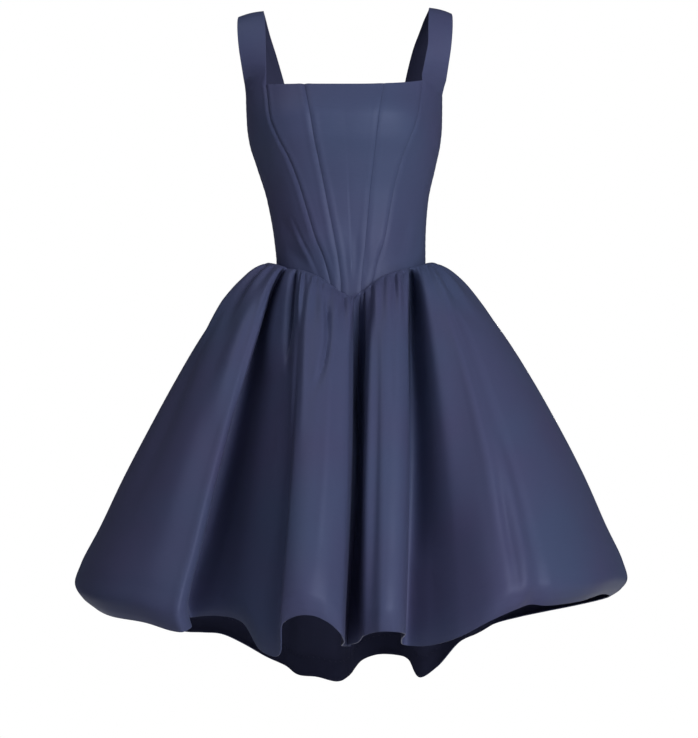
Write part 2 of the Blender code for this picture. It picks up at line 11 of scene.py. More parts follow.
import bmesh
import bpy
import numpy as np
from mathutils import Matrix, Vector


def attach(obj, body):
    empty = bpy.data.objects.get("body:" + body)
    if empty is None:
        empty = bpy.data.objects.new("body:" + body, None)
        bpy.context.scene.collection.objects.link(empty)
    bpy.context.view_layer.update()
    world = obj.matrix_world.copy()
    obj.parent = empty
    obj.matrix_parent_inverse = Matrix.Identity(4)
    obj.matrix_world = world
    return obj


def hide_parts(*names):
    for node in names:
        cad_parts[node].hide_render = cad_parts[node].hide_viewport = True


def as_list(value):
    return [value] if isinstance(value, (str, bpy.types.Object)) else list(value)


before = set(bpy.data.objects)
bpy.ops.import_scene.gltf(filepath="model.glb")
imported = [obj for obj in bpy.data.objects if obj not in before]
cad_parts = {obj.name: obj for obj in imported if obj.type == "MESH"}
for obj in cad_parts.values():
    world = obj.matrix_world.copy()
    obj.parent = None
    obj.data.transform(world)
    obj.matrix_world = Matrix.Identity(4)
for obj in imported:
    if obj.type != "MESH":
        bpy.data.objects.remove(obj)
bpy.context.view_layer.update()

bl_info = {
    "name": "Satin dress",
    "version": (1, 0, 0),
    "blender": (4, 5, 0),
    "location": "3D View > Sidebar > Dress",
    "description": "Builds a sleeveless satin dress with a gathered skirt, piece by piece",
    "category": "Add Mesh",
}

ROOT = "dress"
PULL_BODY = "zip_pull"
SIDES = ((1, "left"), (-1, "right"))
AXIS_X = 0
AXIS_Y = 1


def table(kind, *rows):
    """Rows of numbers under the names of their columns."""
    return tuple(kind(*row) for row in rows)


# One panel of cloth: the points and normals of its face, the panels it hangs from, whether it
# ends in a neck edge or a hem, and how many rows of strap lie above it
Panel = namedtuple("Panel", "node grid normals hangs_from neck hem strap_rows",
                   defaults=(False, False, 0))

# ------------------------------------------------------------------ the cut, as on the rigid panels

# Rings of the bodice: half their width, their depth to the front and the back, and how far
# their middle lies to one side
BodiceRing = namedtuple("BodiceRing", "height half_width front back shift")
BODICE_RINGS = table(
    BodiceRing,
    (-0.090, 0.1450, 0.092, 0.088, -0.0106),
    (-0.112, 0.1455, 0.099, 0.090, -0.0104),
    (-0.165, 0.1443, 0.116, 0.091, -0.0096),
    (-0.190, 0.1415, 0.115, 0.088, -0.0090),
    (-0.225, 0.1325, 0.106, 0.083, -0.0072),
    (-0.277, 0.1190, 0.093, 0.076, -0.0048),
    (-0.336, 0.1117, 0.087, 0.073, -0.0016),
    (-0.373, 0.1100, 0.087, 0.074, 0.0),
    (-0.430, 0.1120, 0.092, 0.080, 0.0),
)
WAIST_RADIUS = 0.115
CHEST_RADIUS = 0.140

# The bust stands out round one angle and height on each side
BUST_RISE = 0.006
BUST_ANGLE = 30.0
BUST_ANGLE_SPREAD = 20.0
BUST_HEIGHT = -0.160
BUST_HEIGHT_SPREAD = 0.042

# Seams, by their angles from the centre front in degrees
SeamStation = namedtuple("SeamStation", "height inner outer")
FRONT_SEAMS = table(
    SeamStation,
    (-0.108, 24.0, 53.0),
    (-0.166, 19.6, 45.0),
    (-0.225, 17.8, 37.0),
    (-0.290, 15.0, 31.5),
    (-0.336, 12.2, 27.0),
    (-0.373, 9.8, 21.0),
    (-0.408, 7.8, 16.0),
)
SIDE_SEAM = 90.0
BACK_SEAM_TOP = 142.0
BACK_SEAM_WAIST = 150.0
CENTRE_BACK = 180.0
NECK_FRONT = -0.1105
NECK_DIP = 0.0045
NECK_BACK = -0.1145
UNDERARM = -0.1200

# The waist seam dips to a point at the centre front
WaistDip = namedtuple("WaistDip", "angle dip")
WAIST_SIDE = -0.3710
WAIST_DIPS = table(
    WaistDip,
    (0.0, 0.0605),
    (8.0, 0.0530),
    (16.0, 0.0410),
    (26.0, 0.0290),
    (38.0, 0.0205),
    (55.0, 0.0130),
    (75.0, 0.0035),
    (90.0, 0.0),
    (180.0, 0.0080),
)

# Rungs of the straps, from their inner to their outer edge; "out" is measured from the middle
StrapStation = namedtuple("StrapStation", "inner_out inner_y inner_z outer_out outer_y outer_z")
STRAP_MIDDLE = -0.0089
STRAP_FRONT = table(
    StrapStation,
    (0.1172, -0.0610, -0.0960, 0.1500, -0.0290, -0.1010),
    (0.1172, -0.0600, -0.0760, 0.1535, -0.0395, -0.0800),
    (0.1176, -0.0530, -0.0500, 0.1575, -0.0390, -0.0540),
    (0.1184, -0.0400, -0.0200, 0.1598, -0.0310, -0.0270),
    (0.1198, -0.0230, -0.0010, 0.1600, -0.0180, -0.0090),
    (0.1210, -0.0060, 0.0074, 0.1590, -0.0050, -0.0016),
    (0.1212, 0.0000, 0.0075, 0.1590, 0.0000, -0.0015),
)
STRAP_BACK = table(
    StrapStation,
    (0.1212, 0.0000, 0.0075, 0.1590, 0.0000, -0.0015),
    (0.1208, 0.0060, 0.0074, 0.1590, 0.0050, -0.0016),
    (0.1180, 0.0240, -0.0010, 0.1570, 0.0190, -0.0090),
    (0.1122, 0.0430, -0.0220, 0.1550, 0.0320, -0.0280),
    (0.1022, 0.0590, -0.0530, 0.1530, 0.0380, -0.0550),
    (0.0945, 0.0690, -0.0800, 0.1500, 0.0370, -0.0810),
    (0.0898, 0.0712, -0.0985, 0.1475, 0.0270, -0.1010),
)
STRAP_BOW = 0.0015
STRAP_BOW_OUT = 0.0005

# The left strap sits a little higher than the right one, and its inner edge leans outwards
StrapLean = namedtuple("StrapLean", "height front back")
LEFT_STRAP_LEANS = table(
    StrapLean,
    (-0.1000, -0.0040, -0.0010),
    (-0.0700, 0.0020, -0.0025),
    (-0.0450, 0.0055, -0.0030),
    (-0.0120, 0.0050, 0.0),
    (0.0060, 0.0040, 0.0040),
)
LEFT_STRAP_RISE = 0.0050
STRAP_ROOT = -0.0960
LEFT_NECK_RISE = 0.0065
LEFT_NECK_START = 8.0

# The skirt's way from the waist seam to the hem: how far down it is, and how far out
SkirtStation = namedtuple("SkirtStation", "drop reach")
SKIRT_STATIONS = table(
    SkirtStation,
    (0.0, 0.0),
    (0.001, 0.013),
    (-0.004, 0.046),
    (0.012, 0.100),
    (0.050, 0.175),
    (0.115, 0.268),
    (0.226, 0.398),
    (0.346, 0.518),
    (0.485, 0.645),
    (0.644, 0.780),
    (0.785, 0.886),
    (0.890, 0.972),
    (0.945, 1.000),
    (0.978, 0.968),
    (1.000, 0.915),
)
SKIRT_SWAY = 0.005

# From this drop on the hem curls in, fully at the sides and less at the front and back
HEM_CURL_START = 0.945
HEM_CURL_FRONT = 0.25

# Tucks are deepest at the first of these drops and have run out at the second
TUCK_PEAK = 0.09
TUCK_END = 0.55

# Fold lines: the angle where each leaves the waist seam, its place at the hem and its tuck
FoldLine = namedtuple("FoldLine", "waist hem_x hem_y hem_z tuck")
FRONT_FOLDS = table(
    FoldLine,
    (-90.0, -0.407, 0.000, -0.868, 0.0),
    (-82.0, -0.399, -0.098, -0.885, 0.0),
    (-74.0, -0.364, -0.194, -0.904, 0.0),
    (-67.0, -0.305, -0.262, -0.917, 0.0),
    (-62.0, -0.264, -0.291, -0.930, 0.0),
    (-59.0, -0.247, -0.298, -0.932, 0.0),
    (-57.0, -0.234, -0.278, -0.924, 0.002),
    (-55.0, -0.247, -0.190, -0.909, 0.03),
    (-53.0, -0.240, -0.112, -0.901, 0.042),
    (-50.5, -0.199, -0.155, -0.901, 0.012),
    (-48.5, -0.160, -0.208, -0.913, 0.005),
    (-46.5, -0.132, -0.262, -0.956, 0.003),
    (-42.0, -0.104, -0.306, -0.965, 0.0),
    (-34.0, -0.099, -0.338, -0.923, 0.001),
    (-22.0, -0.070, -0.355, -0.911, 0.0),
    (-9.0, -0.037, -0.352, -0.919, 0.0),
    (-1.0, -0.014, -0.334, -0.937, 0.0),
    (3.0, -0.009, -0.298, -0.946, 0.01),
    (5.5, -0.014, -0.235, -0.949, 0.026),
    (8.0, -0.004, -0.190, -0.947, 0.03),
    (11.5, 0.010, -0.250, -0.945, 0.01),
    (16.5, 0.021, -0.308, -0.938, 0.0),
    (27.0, 0.041, -0.340, -0.934, 0.0),
    (39.0, 0.067, -0.333, -0.934, 0.001),
    (48.0, 0.078, -0.302, -0.935, 0.0),
    (52.0, 0.073, -0.235, -0.940, 0.014),
    (54.3, 0.079, -0.180, -0.945, 0.042),
    (56.5, 0.111, -0.207, -0.947, 0.026),
    (59.0, 0.156, -0.254, -0.937, 0.004),
    (64.0, 0.204, -0.289, -0.915, 0.0),
    (69.5, 0.242, -0.287, -0.899, 0.0),
    (72.5, 0.264, -0.271, -0.891, 0.0),
    (76.0, 0.288, -0.262, -0.892, 0.0),
    (81.0, 0.343, -0.205, -0.883, 0.0),
    (85.5, 0.387, -0.108, -0.867, 0.0),
    (90.0, 0.407, 0.000, -0.864, 0.0),
)
BACK_FOLDS = table(
    FoldLine,
    (98.0, 0.393, 0.105, -0.864, 0.0),
    (106.0, 0.352, 0.190, -0.868, 0.0),
    (113.0, 0.302, 0.248, -0.874, 0.0),
    (119.0, 0.262, 0.284, -0.880, 0.0),
    (125.0, 0.225, 0.288, -0.889, 0.0),
    (131.0, 0.196, 0.260, -0.905, 0.007),
    (136.0, 0.168, 0.238, -0.919, 0.009),
    (142.0, 0.134, 0.258, -0.955, 0.0),
    (149.0, 0.106, 0.262, -0.972, 0.006),
    (155.0, 0.090, 0.294, -0.944, 0.0),
    (162.0, 0.074, 0.332, -0.935, 0.0),
    (170.0, 0.042, 0.346, -0.933, 0.0),
    (175.0, 0.016, 0.328, -0.943, 0.0),
    (180.0, -0.004, 0.292, -0.968, 0.008),
    (186.0, -0.022, 0.262, -0.978, 0.009),
    (193.0, -0.052, 0.264, -0.971, 0.0),
    (200.0, -0.080, 0.284, -0.967, 0.0),
    (207.0, -0.100, 0.314, -0.952, 0.006),
    (214.0, -0.132, 0.332, -0.937, 0.0),
    (221.0, -0.170, 0.316, -0.917, 0.0),
    (227.0, -0.202, 0.284, -0.905, 0.007),
    (233.0, -0.230, 0.262, -0.904, 0.009),
    (240.0, -0.264, 0.264, -0.902, 0.0),
    (247.0, -0.308, 0.242, -0.886, 0.0),
    (255.0, -0.355, 0.184, -0.876, 0.0),
    (262.0, -0.394, 0.098, -0.872, 0.0),
)

# Gathers that the rigid panels share, and how far the skirt starts below the bodice's edge
GATHER_SPACING = 10.0
GATHER_HEIGHT = 0.0028
GATHER_END = 0.17
WAIST_TUCK_UNDER = 0.0003

SkirtPiece = namedtuple("SkirtPiece", "node start end hangs_from")
SKIRT_PIECES = table(
    SkirtPiece,
    ("skirt_front", -SIDE_SEAM, SIDE_SEAM, ["front_centre", "front_left", "front_right"]),
    ("skirt_back_left", SIDE_SEAM, CENTRE_BACK, ["side_back_left", "back_left"]),
    ("skirt_back_right", CENTRE_BACK, 360.0 - SIDE_SEAM, ["side_back_right", "back_right"]),
)

# ------------------------------------------------------------------ finer forms

# Seams: the cloth dips into a seam and stands a little proud beside it, less so at the front's
# left
SEAM_DIP = 0.0011
SEAM_DIP_WIDTH = 0.0020
SEAM_WELT = 0.0007
SEAM_WELT_PLACE = 0.0062
SEAM_WELT_WIDTH = 0.0034
PUCKER_HEIGHT = 0.00022
PUCKER_LENGTH = 0.011
PUCKER_DRIFT = 2.2
PUCKER_DRIFT_LENGTH = 2.7
PUCKER_SHIFT = 0.003
LEFT_SEAM_SHARE = 0.45
LEFT_SEAM_END = 80.0

# The boned outer front seams stand out, so that the front lies flatter and the sides turn away
LEFT_BONE_RISE = 0.0042
LEFT_BONE_SPREAD = 14.0
RIGHT_BONE_RISE = 0.0074
RIGHT_BONE_SPREAD = 20.0
BONE_TOP = -0.1090
BONE_FOOT = -0.4000
BONE_EASE = 0.060

# Creases of the bodice: soft troughs (below zero) and ridges from one place to another
CREASE_TAPER = 0.8
BodiceCrease = namedtuple("BodiceCrease", "angle height to_angle to_height width rise")
BODICE_CREASES = table(
    BodiceCrease,
    (-46.5, -0.305, -24.0, -0.404, 0.0022, -0.0017),
    (-51.0, -0.310, -28.0, -0.398, 0.0045, 0.0011),
    (-58.0, -0.350, -34.0, -0.385, 0.010, -0.0016),
    (-66.0, -0.300, -44.0, -0.345, 0.013, -0.0012),
    (-50.0, -0.180, -72.0, -0.235, 0.016, -0.0013),
    (-30.0, -0.330, -22.0, -0.392, 0.006, -0.0013),
    (-6.0, -0.340, -2.5, -0.415, 0.007, -0.0010),
    (5.0, -0.330, 3.5, -0.412, 0.006, -0.0011),
    (13.0, -0.350, 10.0, -0.405, 0.006, -0.0009),
    (24.0, -0.345, 22.0, -0.392, 0.008, -0.0010),
    (52.0, -0.300, 40.0, -0.372, 0.013, -0.0012),
    (70.0, -0.320, 56.0, -0.366, 0.010, -0.0011),
    (34.0, -0.205, 58.0, -0.240, 0.015, -0.0011),
    (-14.0, -0.205, 12.0, -0.210, 0.018, -0.0009),
    (100.0, -0.270, 128.0, -0.320, 0.013, -0.0015),
    (104.0, -0.330, 136.0, -0.352, 0.010, -0.0013),
    (158.0, -0.300, 174.0, -0.318, 0.011, -0.0012),
    (155.0, -0.345, 172.0, -0.352, 0.008, -0.0011),
    (-100.0, -0.280, -130.0, -0.312, 0.013, -0.0014),
    (-108.0, -0.335, -134.0, -0.350, 0.010, -0.0013),
    (-157.0, -0.310, -175.0, -0.300, 0.011, -0.0012),
    (-160.0, -0.352, -174.0, -0.344, 0.008, -0.0010),
)

# Gathers: fine pleats that leave the waist seam, each of its own width, length and height
GatherRule = namedtuple("GatherRule", "spacing jitter width length height")
FINE_GATHERS = GatherRule(5.4, 1.6, (1.0, 2.0), (0.05, 0.20), (0.0006, 0.0018))
GATHER_FAN = 1.2
GATHER_SEED = 7

# Creases near the front are pressed straight back, not square to the cloth
CREASE_LEAN = 1.6
LEAN_START = 60.0
LEAN_END = 78.0

# Creases of the skirt, along the cloth: from one waist angle and drop to another, bowed sideways
SkirtCrease = namedtuple("SkirtCrease", "waist drop to_waist to_drop bow width rise")
SKIRT_CREASES = table(
    SkirtCrease,
    (-83.0, 0.12, -76.0, 0.80, 3.0, 4.0, -0.0060),
    (-74.0, 0.02, -71.0, 0.22, 0.0, 3.0, -0.0040),
    (-68.0, 0.30, -67.0, 0.90, 1.0, 3.4, 0.0040),
    (-65.0, 0.02, -63.5, 0.46, 0.0, 3.0, 0.0070),
    (-52.9, 0.20, -52.6, 0.97, 0.0, 2.1, -0.0240),
    (-84.0, 0.00, -80.5, 0.28, 0.0, 2.6, 0.0060),
    (55.2, 0.22, 55.0, 0.80, 0.0, 1.5, -0.0110),
    (7.2, 0.34, 8.6, 1.12, 0.0, 2.3, 0.0300),
    (-51.4, 0.00, -49.3, 0.32, 0.0, 1.2, 0.0050),
    (-46.0, -0.01, -45.2, 0.27, 0.0, 1.3, -0.0170),
    (-41.8, 0.16, -41.4, 0.52, 0.0, 3.2, 0.0065),
    (-55.6, 0.00, -55.8, 0.42, 0.0, 1.5, 0.0110),
    (-21.0, 0.00, -25.0, 0.36, 8.0, 1.9, -0.0085),
    (15.7, 0.08, 16.0, 1.10, 0.0, 4.3, 0.0165),
    (-33.0, 0.04, -30.0, 0.50, 1.0, 2.4, 0.0030),
    (-12.0, 0.10, -14.0, 0.90, 0.0, 3.5, 0.0030),
    (4.5, 0.00, 5.0, 0.30, 0.0, 1.0, -0.0060),
    (7.6, 0.00, 8.5, 0.55, 0.0, 1.1, 0.0070),
    (10.5, 0.00, 11.0, 0.26, 0.0, 1.0, -0.0060),
    (24.0, 0.10, 24.0, 0.92, 0.0, 3.0, 0.0030),
    (33.0, 0.03, 32.0, 0.40, 0.0, 2.0, -0.0025),
    (66.5, 0.10, 66.0, 0.96, 1.0, 2.2, 0.0060),
    (71.5, 0.50, 71.0, 0.99, 0.0, 1.6, 0.0050),
    (69.0, 0.60, 68.8, 0.99, 0.0, 1.3, -0.0040),
    (59.4, 0.03, 58.8, 0.75, 0.0, 2.8, 0.0130),
    (79.0, 0.02, 78.0, 0.20, 0.0, 3.0, -0.0030),
    (102.0, 0.06, 100.0, 0.60, 0.0, 3.0, -0.0050),
    (110.0, 0.05, 112.0, 0.92, 2.0, 2.4, -0.0045),
    (122.0, 0.04, 121.0, 0.50, 0.0, 2.0, 0.0035),
    (146.0, 0.03, 145.0, 0.60, 1.0, 2.2, -0.0040),
    (159.0, 0.04, 160.0, 0.80, 0.0, 2.2, -0.0035),
    (170.0, 0.03, 172.0, 0.45, -3.0, 2.0, -0.0035),
    (191.0, 0.03, 190.0, 0.70, 0.0, 2.0, 0.0030),
    (203.0, 0.04, 202.0, 0.55, 2.0, 2.0, -0.0035),
    (217.0, 0.05, 218.0, 0.85, 0.0, 2.4, -0.0040),
    (237.0, 0.05, 238.0, 0.60, -2.0, 2.2, -0.0040),
    (250.0, 0.06, 252.0, 0.90, 0.0, 2.8, -0.0050),
    (259.0, 0.05, 262.0, 0.45, 0.0, 2.4, -0.0040),
)

# Slits where the gathers nip in at the waist seam: sharp, short and of uneven depth
GatherSlit = namedtuple("GatherSlit", "waist length width depth")
GATHER_SLITS = table(
    GatherSlit,
    (-85.0, 0.05, 1.1, 0.0020),
    (-76.5, 0.07, 1.3, 0.0026),
    (-67.0, 0.05, 1.0, 0.0018),
    (-54.6, 0.16, 1.2, 0.0080),
    (-46.0, 0.08, 0.8, 0.0050),
    (-41.3, 0.09, 0.8, 0.0040),
    (-36.8, 0.04, 0.8, 0.0026),
    (-31.0, 0.06, 0.9, 0.0030),
    (-26.0, 0.04, 0.7, 0.0024),
    (-21.0, 0.10, 0.9, 0.0046),
    (-14.5, 0.04, 0.7, 0.0022),
    (-9.0, 0.06, 0.7, 0.0030),
    (-4.2, 0.09, 0.7, 0.0036),
    (0.5, 0.05, 0.6, 0.0026),
    (4.6, 0.13, 0.7, 0.0046),
    (10.4, 0.12, 0.7, 0.0046),
    (15.5, 0.05, 0.7, 0.0028),
    (21.0, 0.04, 0.7, 0.0022),
    (26.5, 0.05, 0.8, 0.0024),
    (31.5, 0.05, 0.7, 0.0024),
    (36.4, 0.11, 0.8, 0.0048),
    (40.6, 0.04, 0.7, 0.0026),
    (44.6, 0.08, 0.8, 0.0042),
    (54.3, 0.20, 1.1, 0.0080),
    (60.0, 0.04, 0.9, 0.0020),
    (68.0, 0.06, 1.1, 0.0022),
    (77.0, 0.05, 1.2, 0.0024),
    (86.0, 0.07, 1.1, 0.0026),
)
SlitRule = namedtuple("SlitRule", "count jitter length width depth")
BACK_SLITS = SlitRule(22, 0.3, (0.04, 0.14), (0.7, 1.1), (0.0022, 0.0050))
SLIT_MOUTH = 0.12
SLIT_FAN = 0.8
SLIT_SEED = 11

# Turnings on the wrong side, where the cloth is doubled
TURNING_WIDTH = 0.012
TURNING_THICKNESS = 0.0005
TURNING_STEP = 0.0008
HEM_TURN = 0.030

# Rims: where faces meet more sharply than this, in degrees, the edge is rounded over
SHARP_ANGLE = 60.0
RIM_ROUND = 0.00035
RIM_STEPS = 2

# Concealed zip: tapes and teeth inside the centre back, the slider and its tab at the top
TAPE_START = 0.0006
TAPE_WIDTH = 0.0125
TAPE_THICKNESS = 0.0006
TAPE_FILL = 0.9
TAPE_COLUMNS = 6
TAPE_FOLDS = 3
TAPE_FOOT = -0.560
TOOTH_PITCH = 0.0013
TOOTH_SIZE = (0.0022, 0.0012, 0.0008)
TOOTH_OFFSET = 0.0007
SLIDER_WIDTH = 0.0070
SLIDER_LENGTH = 0.0120
SLIDER_PLATE = 0.0016
SLIDER_BELOW_NECK = 0.0030
SLIDER_GAP = 0.0003
SLIDER_CORNER = 0.0022
BRIDGE_WIDTH = 0.0014
BRIDGE_SPAN = 0.0070
BRIDGE_BAR = 0.0010
BRIDGE_CORNER = 0.0004
PULL_BAR = 0.0012
RUNNING_GAP = 0.0003
PULL_LENGTH = 0.0260
PULL_TOP_WIDTH = 0.0050
PULL_LOW_WIDTH = 0.0064
PULL_THICKNESS = 0.0012
PULL_HOLE_WIDTH = 0.0026
PULL_HOLE_LENGTH = 0.0060
PULL_SQUARENESS = 0.62
SLOT_SQUARENESS = 1.5
PULL_SIDES = 72
METAL_ROUND = 0.00025
CORNER_STEPS = 5
PULL_RIM_STEPS = 3
SQUARE_SLACK = 12.0
CRISP_ANGLE = 40.0

# Sewing on the wrong side: overlocked turnings, a row under the neck, blind stitches in the hem
Stitch = namedtuple("Stitch", "pitch length thickness slant")
OVERLOCK = Stitch(0.0032, 0.0030, 0.00045, 0.9)
NECK_ROW = Stitch(0.0030, 0.0024, 0.00040, 0.0)
HEM_ROW = Stitch(0.0090, 0.0040, 0.00045, 0.7)
NECK_ROW_DROP = 0.0020
THREAD_LIFT = 0.0001

# How finely the cloth is worked out
BODICE_COLUMN_STEP = 0.0028
FEWEST_COLUMNS = 6
BODICE_ROWS = 84
SETTLE_ROUNDS = 8
STRAP_STEPS = 8
EASE_ROWS = 6
SKIRT_SAMPLES = 10
SKIRT_ROWS = 104
TUCKED_ROWS = 4
NORMAL_TURN = 0.5
NORMAL_LIFT = 0.002

# Stage: a pale floor and room, four soft lights and a camera that looks a little upwards
VIEW_X = -0.003
VIEW_Z = -0.527
VIEW_HEIGHT = 1.09224
FLOOR_Z = -1.42
FLOOR_RADIUS = 12.0
FLOOR_SIDES = 64
FLOOR_GREY = 0.86
FLOOR_ROUGHNESS = 0.9
FLOOR_GLOW = 0.8
StageLight = namedtuple("StageLight", "name place size")
STAGE_LIGHTS = table(
    StageLight,
    ("key", (1.95, -3.65, 0.55), 2.2),
    ("fill", (-2.5, -2.1, 2.1), 2.2),
    ("top", (-1.4, -1.0, 2.6), 2.0),
    ("back", (0.2, 4.6, -0.2), 0.9),
)
TOP_POWER = 20.0
BACK_POWER = 110.0
ROOM_TINT = (0.80, 0.86, 1.0, 1.0)
ROOM_LIGHT = 0.056


# ------------------------------------------------------------------ settings a user would change

class DressSizes(bpy.types.PropertyGroup):
    """The cloth, and how strongly its finer forms show"""

    cloth: bpy.props.FloatProperty(
        name="Cloth", description="Thickness of the satin", default=0.0012,
        min=0.0004, max=0.003, precision=4, unit="LENGTH")
    seam_overlap: bpy.props.FloatProperty(
        name="Seam overlap", description="How far two sewn pieces reach into each other",
        default=0.00006, min=0.0, max=0.001, precision=5, unit="LENGTH")
    gathers: bpy.props.FloatProperty(
        name="Gathers", description="How strongly the fine gathers stand out at the waist",
        default=1.0, min=0.0, max=2.0, subtype="FACTOR")
    creases: bpy.props.FloatProperty(
        name="Creases", description="How strongly the soft creases show",
        default=1.0, min=0.0, max=2.0, subtype="FACTOR")


class DressColours(bpy.types.PropertyGroup):
    """The colours of the cloth, the thread and the zip"""

    satin: bpy.props.FloatVectorProperty(
        name="Satin", description="Slate navy of the satin's face", size=3, subtype="COLOR",
        default=(0.0545, 0.0710, 0.1450), min=0.0, max=1.0)
    shot: bpy.props.FloatVectorProperty(
        name="Shot colour", description="Violet cast that drifts over the satin", size=3,
        subtype="COLOR", default=(0.0595, 0.0615, 0.1345), min=0.0, max=1.0)
    wrong_side: bpy.props.FloatVectorProperty(
        name="Wrong side", description="Dull inside of the cloth", size=3, subtype="COLOR",
        default=(0.038, 0.041, 0.084), min=0.0, max=1.0)
    thread: bpy.props.FloatVectorProperty(
        name="Thread", description="Sewing thread on the wrong side", size=3, subtype="COLOR",
        default=(0.060, 0.064, 0.120), min=0.0, max=1.0)
    metal: bpy.props.FloatVectorProperty(
        name="Zip metal", description="Enamel on the zip's slider and tab", size=3,
        subtype="COLOR", default=(0.050, 0.058, 0.120), min=0.0, max=1.0)


class StageSettings(bpy.types.PropertyGroup):
    """The camera and the two lights that matter most"""

    distance: bpy.props.FloatProperty(
        name="Distance", description="From the camera to the dress", default=9.0,
        min=2.0, max=30.0, unit="LENGTH")
    climb: bpy.props.FloatProperty(
        name="Climb", description="How far the camera looks up", default=math.radians(5.5),
        min=-1.0, max=1.0, subtype="ANGLE")
    key: bpy.props.FloatProperty(
        name="Key light", description="Power of the large light at the right", default=137.0,
        min=0.0, max=2000.0, unit="POWER")
    fill: bpy.props.FloatProperty(
        name="Fill light", description="Power of the light at the left", default=9.0,
        min=0.0, max=2000.0, unit="POWER")


# ------------------------------------------------------------------ curves

def smooth_curve(stations, values):
    """A curve through the stations that never overshoots a value; it takes arrays of places."""
    stations = np.asarray(stations, float)
    values = np.asarray(values, float)
    steps = np.diff(stations)
    slopes = np.diff(values) / steps
    before, after = slopes[:-1], slopes[1:]
    same_way = before * after > 0
    shared = 2 * before * after / np.where(same_way, before + after, 1)
    tangents = np.concatenate([slopes[:1], np.where(same_way, shared, 0), slopes[-1:]])

    def at(place):
        place = np.clip(place, stations[0], stations[-1])
        span = np.clip(np.searchsorted(stations, place, side="right") - 1, 0, len(steps) - 1)
        part = (place - stations[span]) / steps[span]
        rise = part * part * (3 - 2 * part)
        lead = part * (1 - part) ** 2 * steps[span] * tangents[span]
        trail = part * part * (part - 1) * steps[span] * tangents[span + 1]
        return values[span] * (1 - rise) + values[span + 1] * rise + lead + trail

    return at


def column_curve(rows, key, column):
    """A smooth curve of one named column of a table against another."""
    ordered = sorted(rows, key=lambda row: getattr(row, key))
    places = [getattr(row, key) for row in ordered]
    return smooth_curve(places, [getattr(row, column) for row in ordered])


half_width_at = column_curve(BODICE_RINGS, "height", "half_width")
front_at = column_curve(BODICE_RINGS, "height", "front")
back_at = column_curve(BODICE_RINGS, "height", "back")
shift_at = column_curve(BODICE_RINGS, "height", "shift")
inner_seam_at = column_curve(FRONT_SEAMS, "height", "inner")
outer_seam_at = column_curve(FRONT_SEAMS, "height", "outer")
waist_dip_at = column_curve(WAIST_DIPS, "angle", "dip")
front_lean_at = column_curve(LEFT_STRAP_LEANS, "height", "front")
back_lean_at = column_curve(LEFT_STRAP_LEANS, "height", "back")


def bell(distance, spread):
    """A soft rise of 1 that has all but gone at twice the spread."""
    return np.exp(-((distance / spread) ** 2))


def smooth_step(value):
    """An eased way from 0 to 1 for values from 0 to 1, held level beyond them."""
    value = np.clip(value, 0.0, 1.0)
    return value * value * (3 - 2 * value)


def half_turn(angle):
    """The same angle, between -180 and 180 degrees."""
    return (angle + 180.0) % 360.0 - 180.0


def unit(vectors):
    """The same directions at a length of 1."""
    return vectors / np.maximum(np.linalg.norm(vectors, axis=-1, keepdims=True), 1e-12)


def run_along(points):
    """How far each point of a line lies from its start."""
    return np.concatenate([[0.0], np.cumsum(np.linalg.norm(np.diff(points, axis=0), axis=1))])


def through_points(points, samples):
    """Smooth points through rows of points (their first three numbers set the spacing)."""
    points = np.asarray(points, float)
    padded = np.vstack([2 * points[0] - points[1], points, 2 * points[-1] - points[-2]])
    chords = np.linalg.norm(np.diff(padded[:, :3], axis=0), axis=1)
    knots = np.concatenate([[0.0], np.cumsum(np.sqrt(np.maximum(chords, 1e-6)))])
    curve = []
    for index in range(1, len(padded) - 2):
        low = knots[index]
        high = knots[index + 1]
        places = low + (high - low) * np.arange(samples) / samples
        level = [padded[index - 1 + step] for step in range(4)]
        for width in (1, 2, 1):
            blended = []
            for step in range(len(level) - 1):
                first = index - 1 + step + (1 if len(level) == 2 else 0)
                share = (places - knots[first]) / (knots[first + width] - knots[first])
                share = share[:, None]
                blended.append(level[step] * (1 - share) + level[step + 1] * share)
            level = blended
        curve.append(level[0])
    curve.append(padded[-2][None, :])
    return np.vstack(curve)


# ------------------------------------------------------------------ the bodice surface

def bodice_points(angle, height):
    """Points on the outside of the bodice; angles run from the centre front towards +X."""
    turn = np.radians(angle)
    depth = np.where(np.abs(angle) < SIDE_SEAM, front_at(height), back_at(height))
    rise = BUST_RISE * bell(np.abs(angle) - BUST_ANGLE, BUST_ANGLE_SPREAD)
    rise = rise * bell(height - BUST_HEIGHT, BUST_HEIGHT_SPREAD)
    across = shift_at(height) + half_width_at(height) * np.sin(turn) + np.sin(turn) * rise
    along = -depth * np.cos(turn) - np.cos(turn) * rise
    return np.stack([across, along, height + np.zeros_like(across)], axis=-1)


def bodice_normals(angle, height):
    """The directions straight out of the bodice."""
    turn, lift = NORMAL_TURN, NORMAL_LIFT
    across = bodice_points(angle + turn, height) - bodice_points(angle - turn, height)
    up = bodice_points(angle, height + lift) - bodice_points(angle, height - lift)
    return unit(np.cross(across, up))


def waist_heights(angle):
    """The height of the waist seam at angles from the centre front."""
    return WAIST_SIDE - waist_dip_at(np.abs(half_turn(angle)))


def back_seam_at(height):
    """The angle of the seam between the back and the side back."""
    share = (height - NECK_BACK) / (WAIST_SIDE - NECK_BACK)
    return BACK_SEAM_TOP + (BACK_SEAM_WAIST - BACK_SEAM_TOP) * np.clip(share, 0.0, 1.0)


def side_seam_at(height):
    """The angle of the side seam, the same at every height."""
    return SIDE_SEAM + 0.0 * height


def centre_seam_at(height):
    """The angle of the centre back seam, the same at every height."""
    return CENTRE_BACK + 0.0 * height


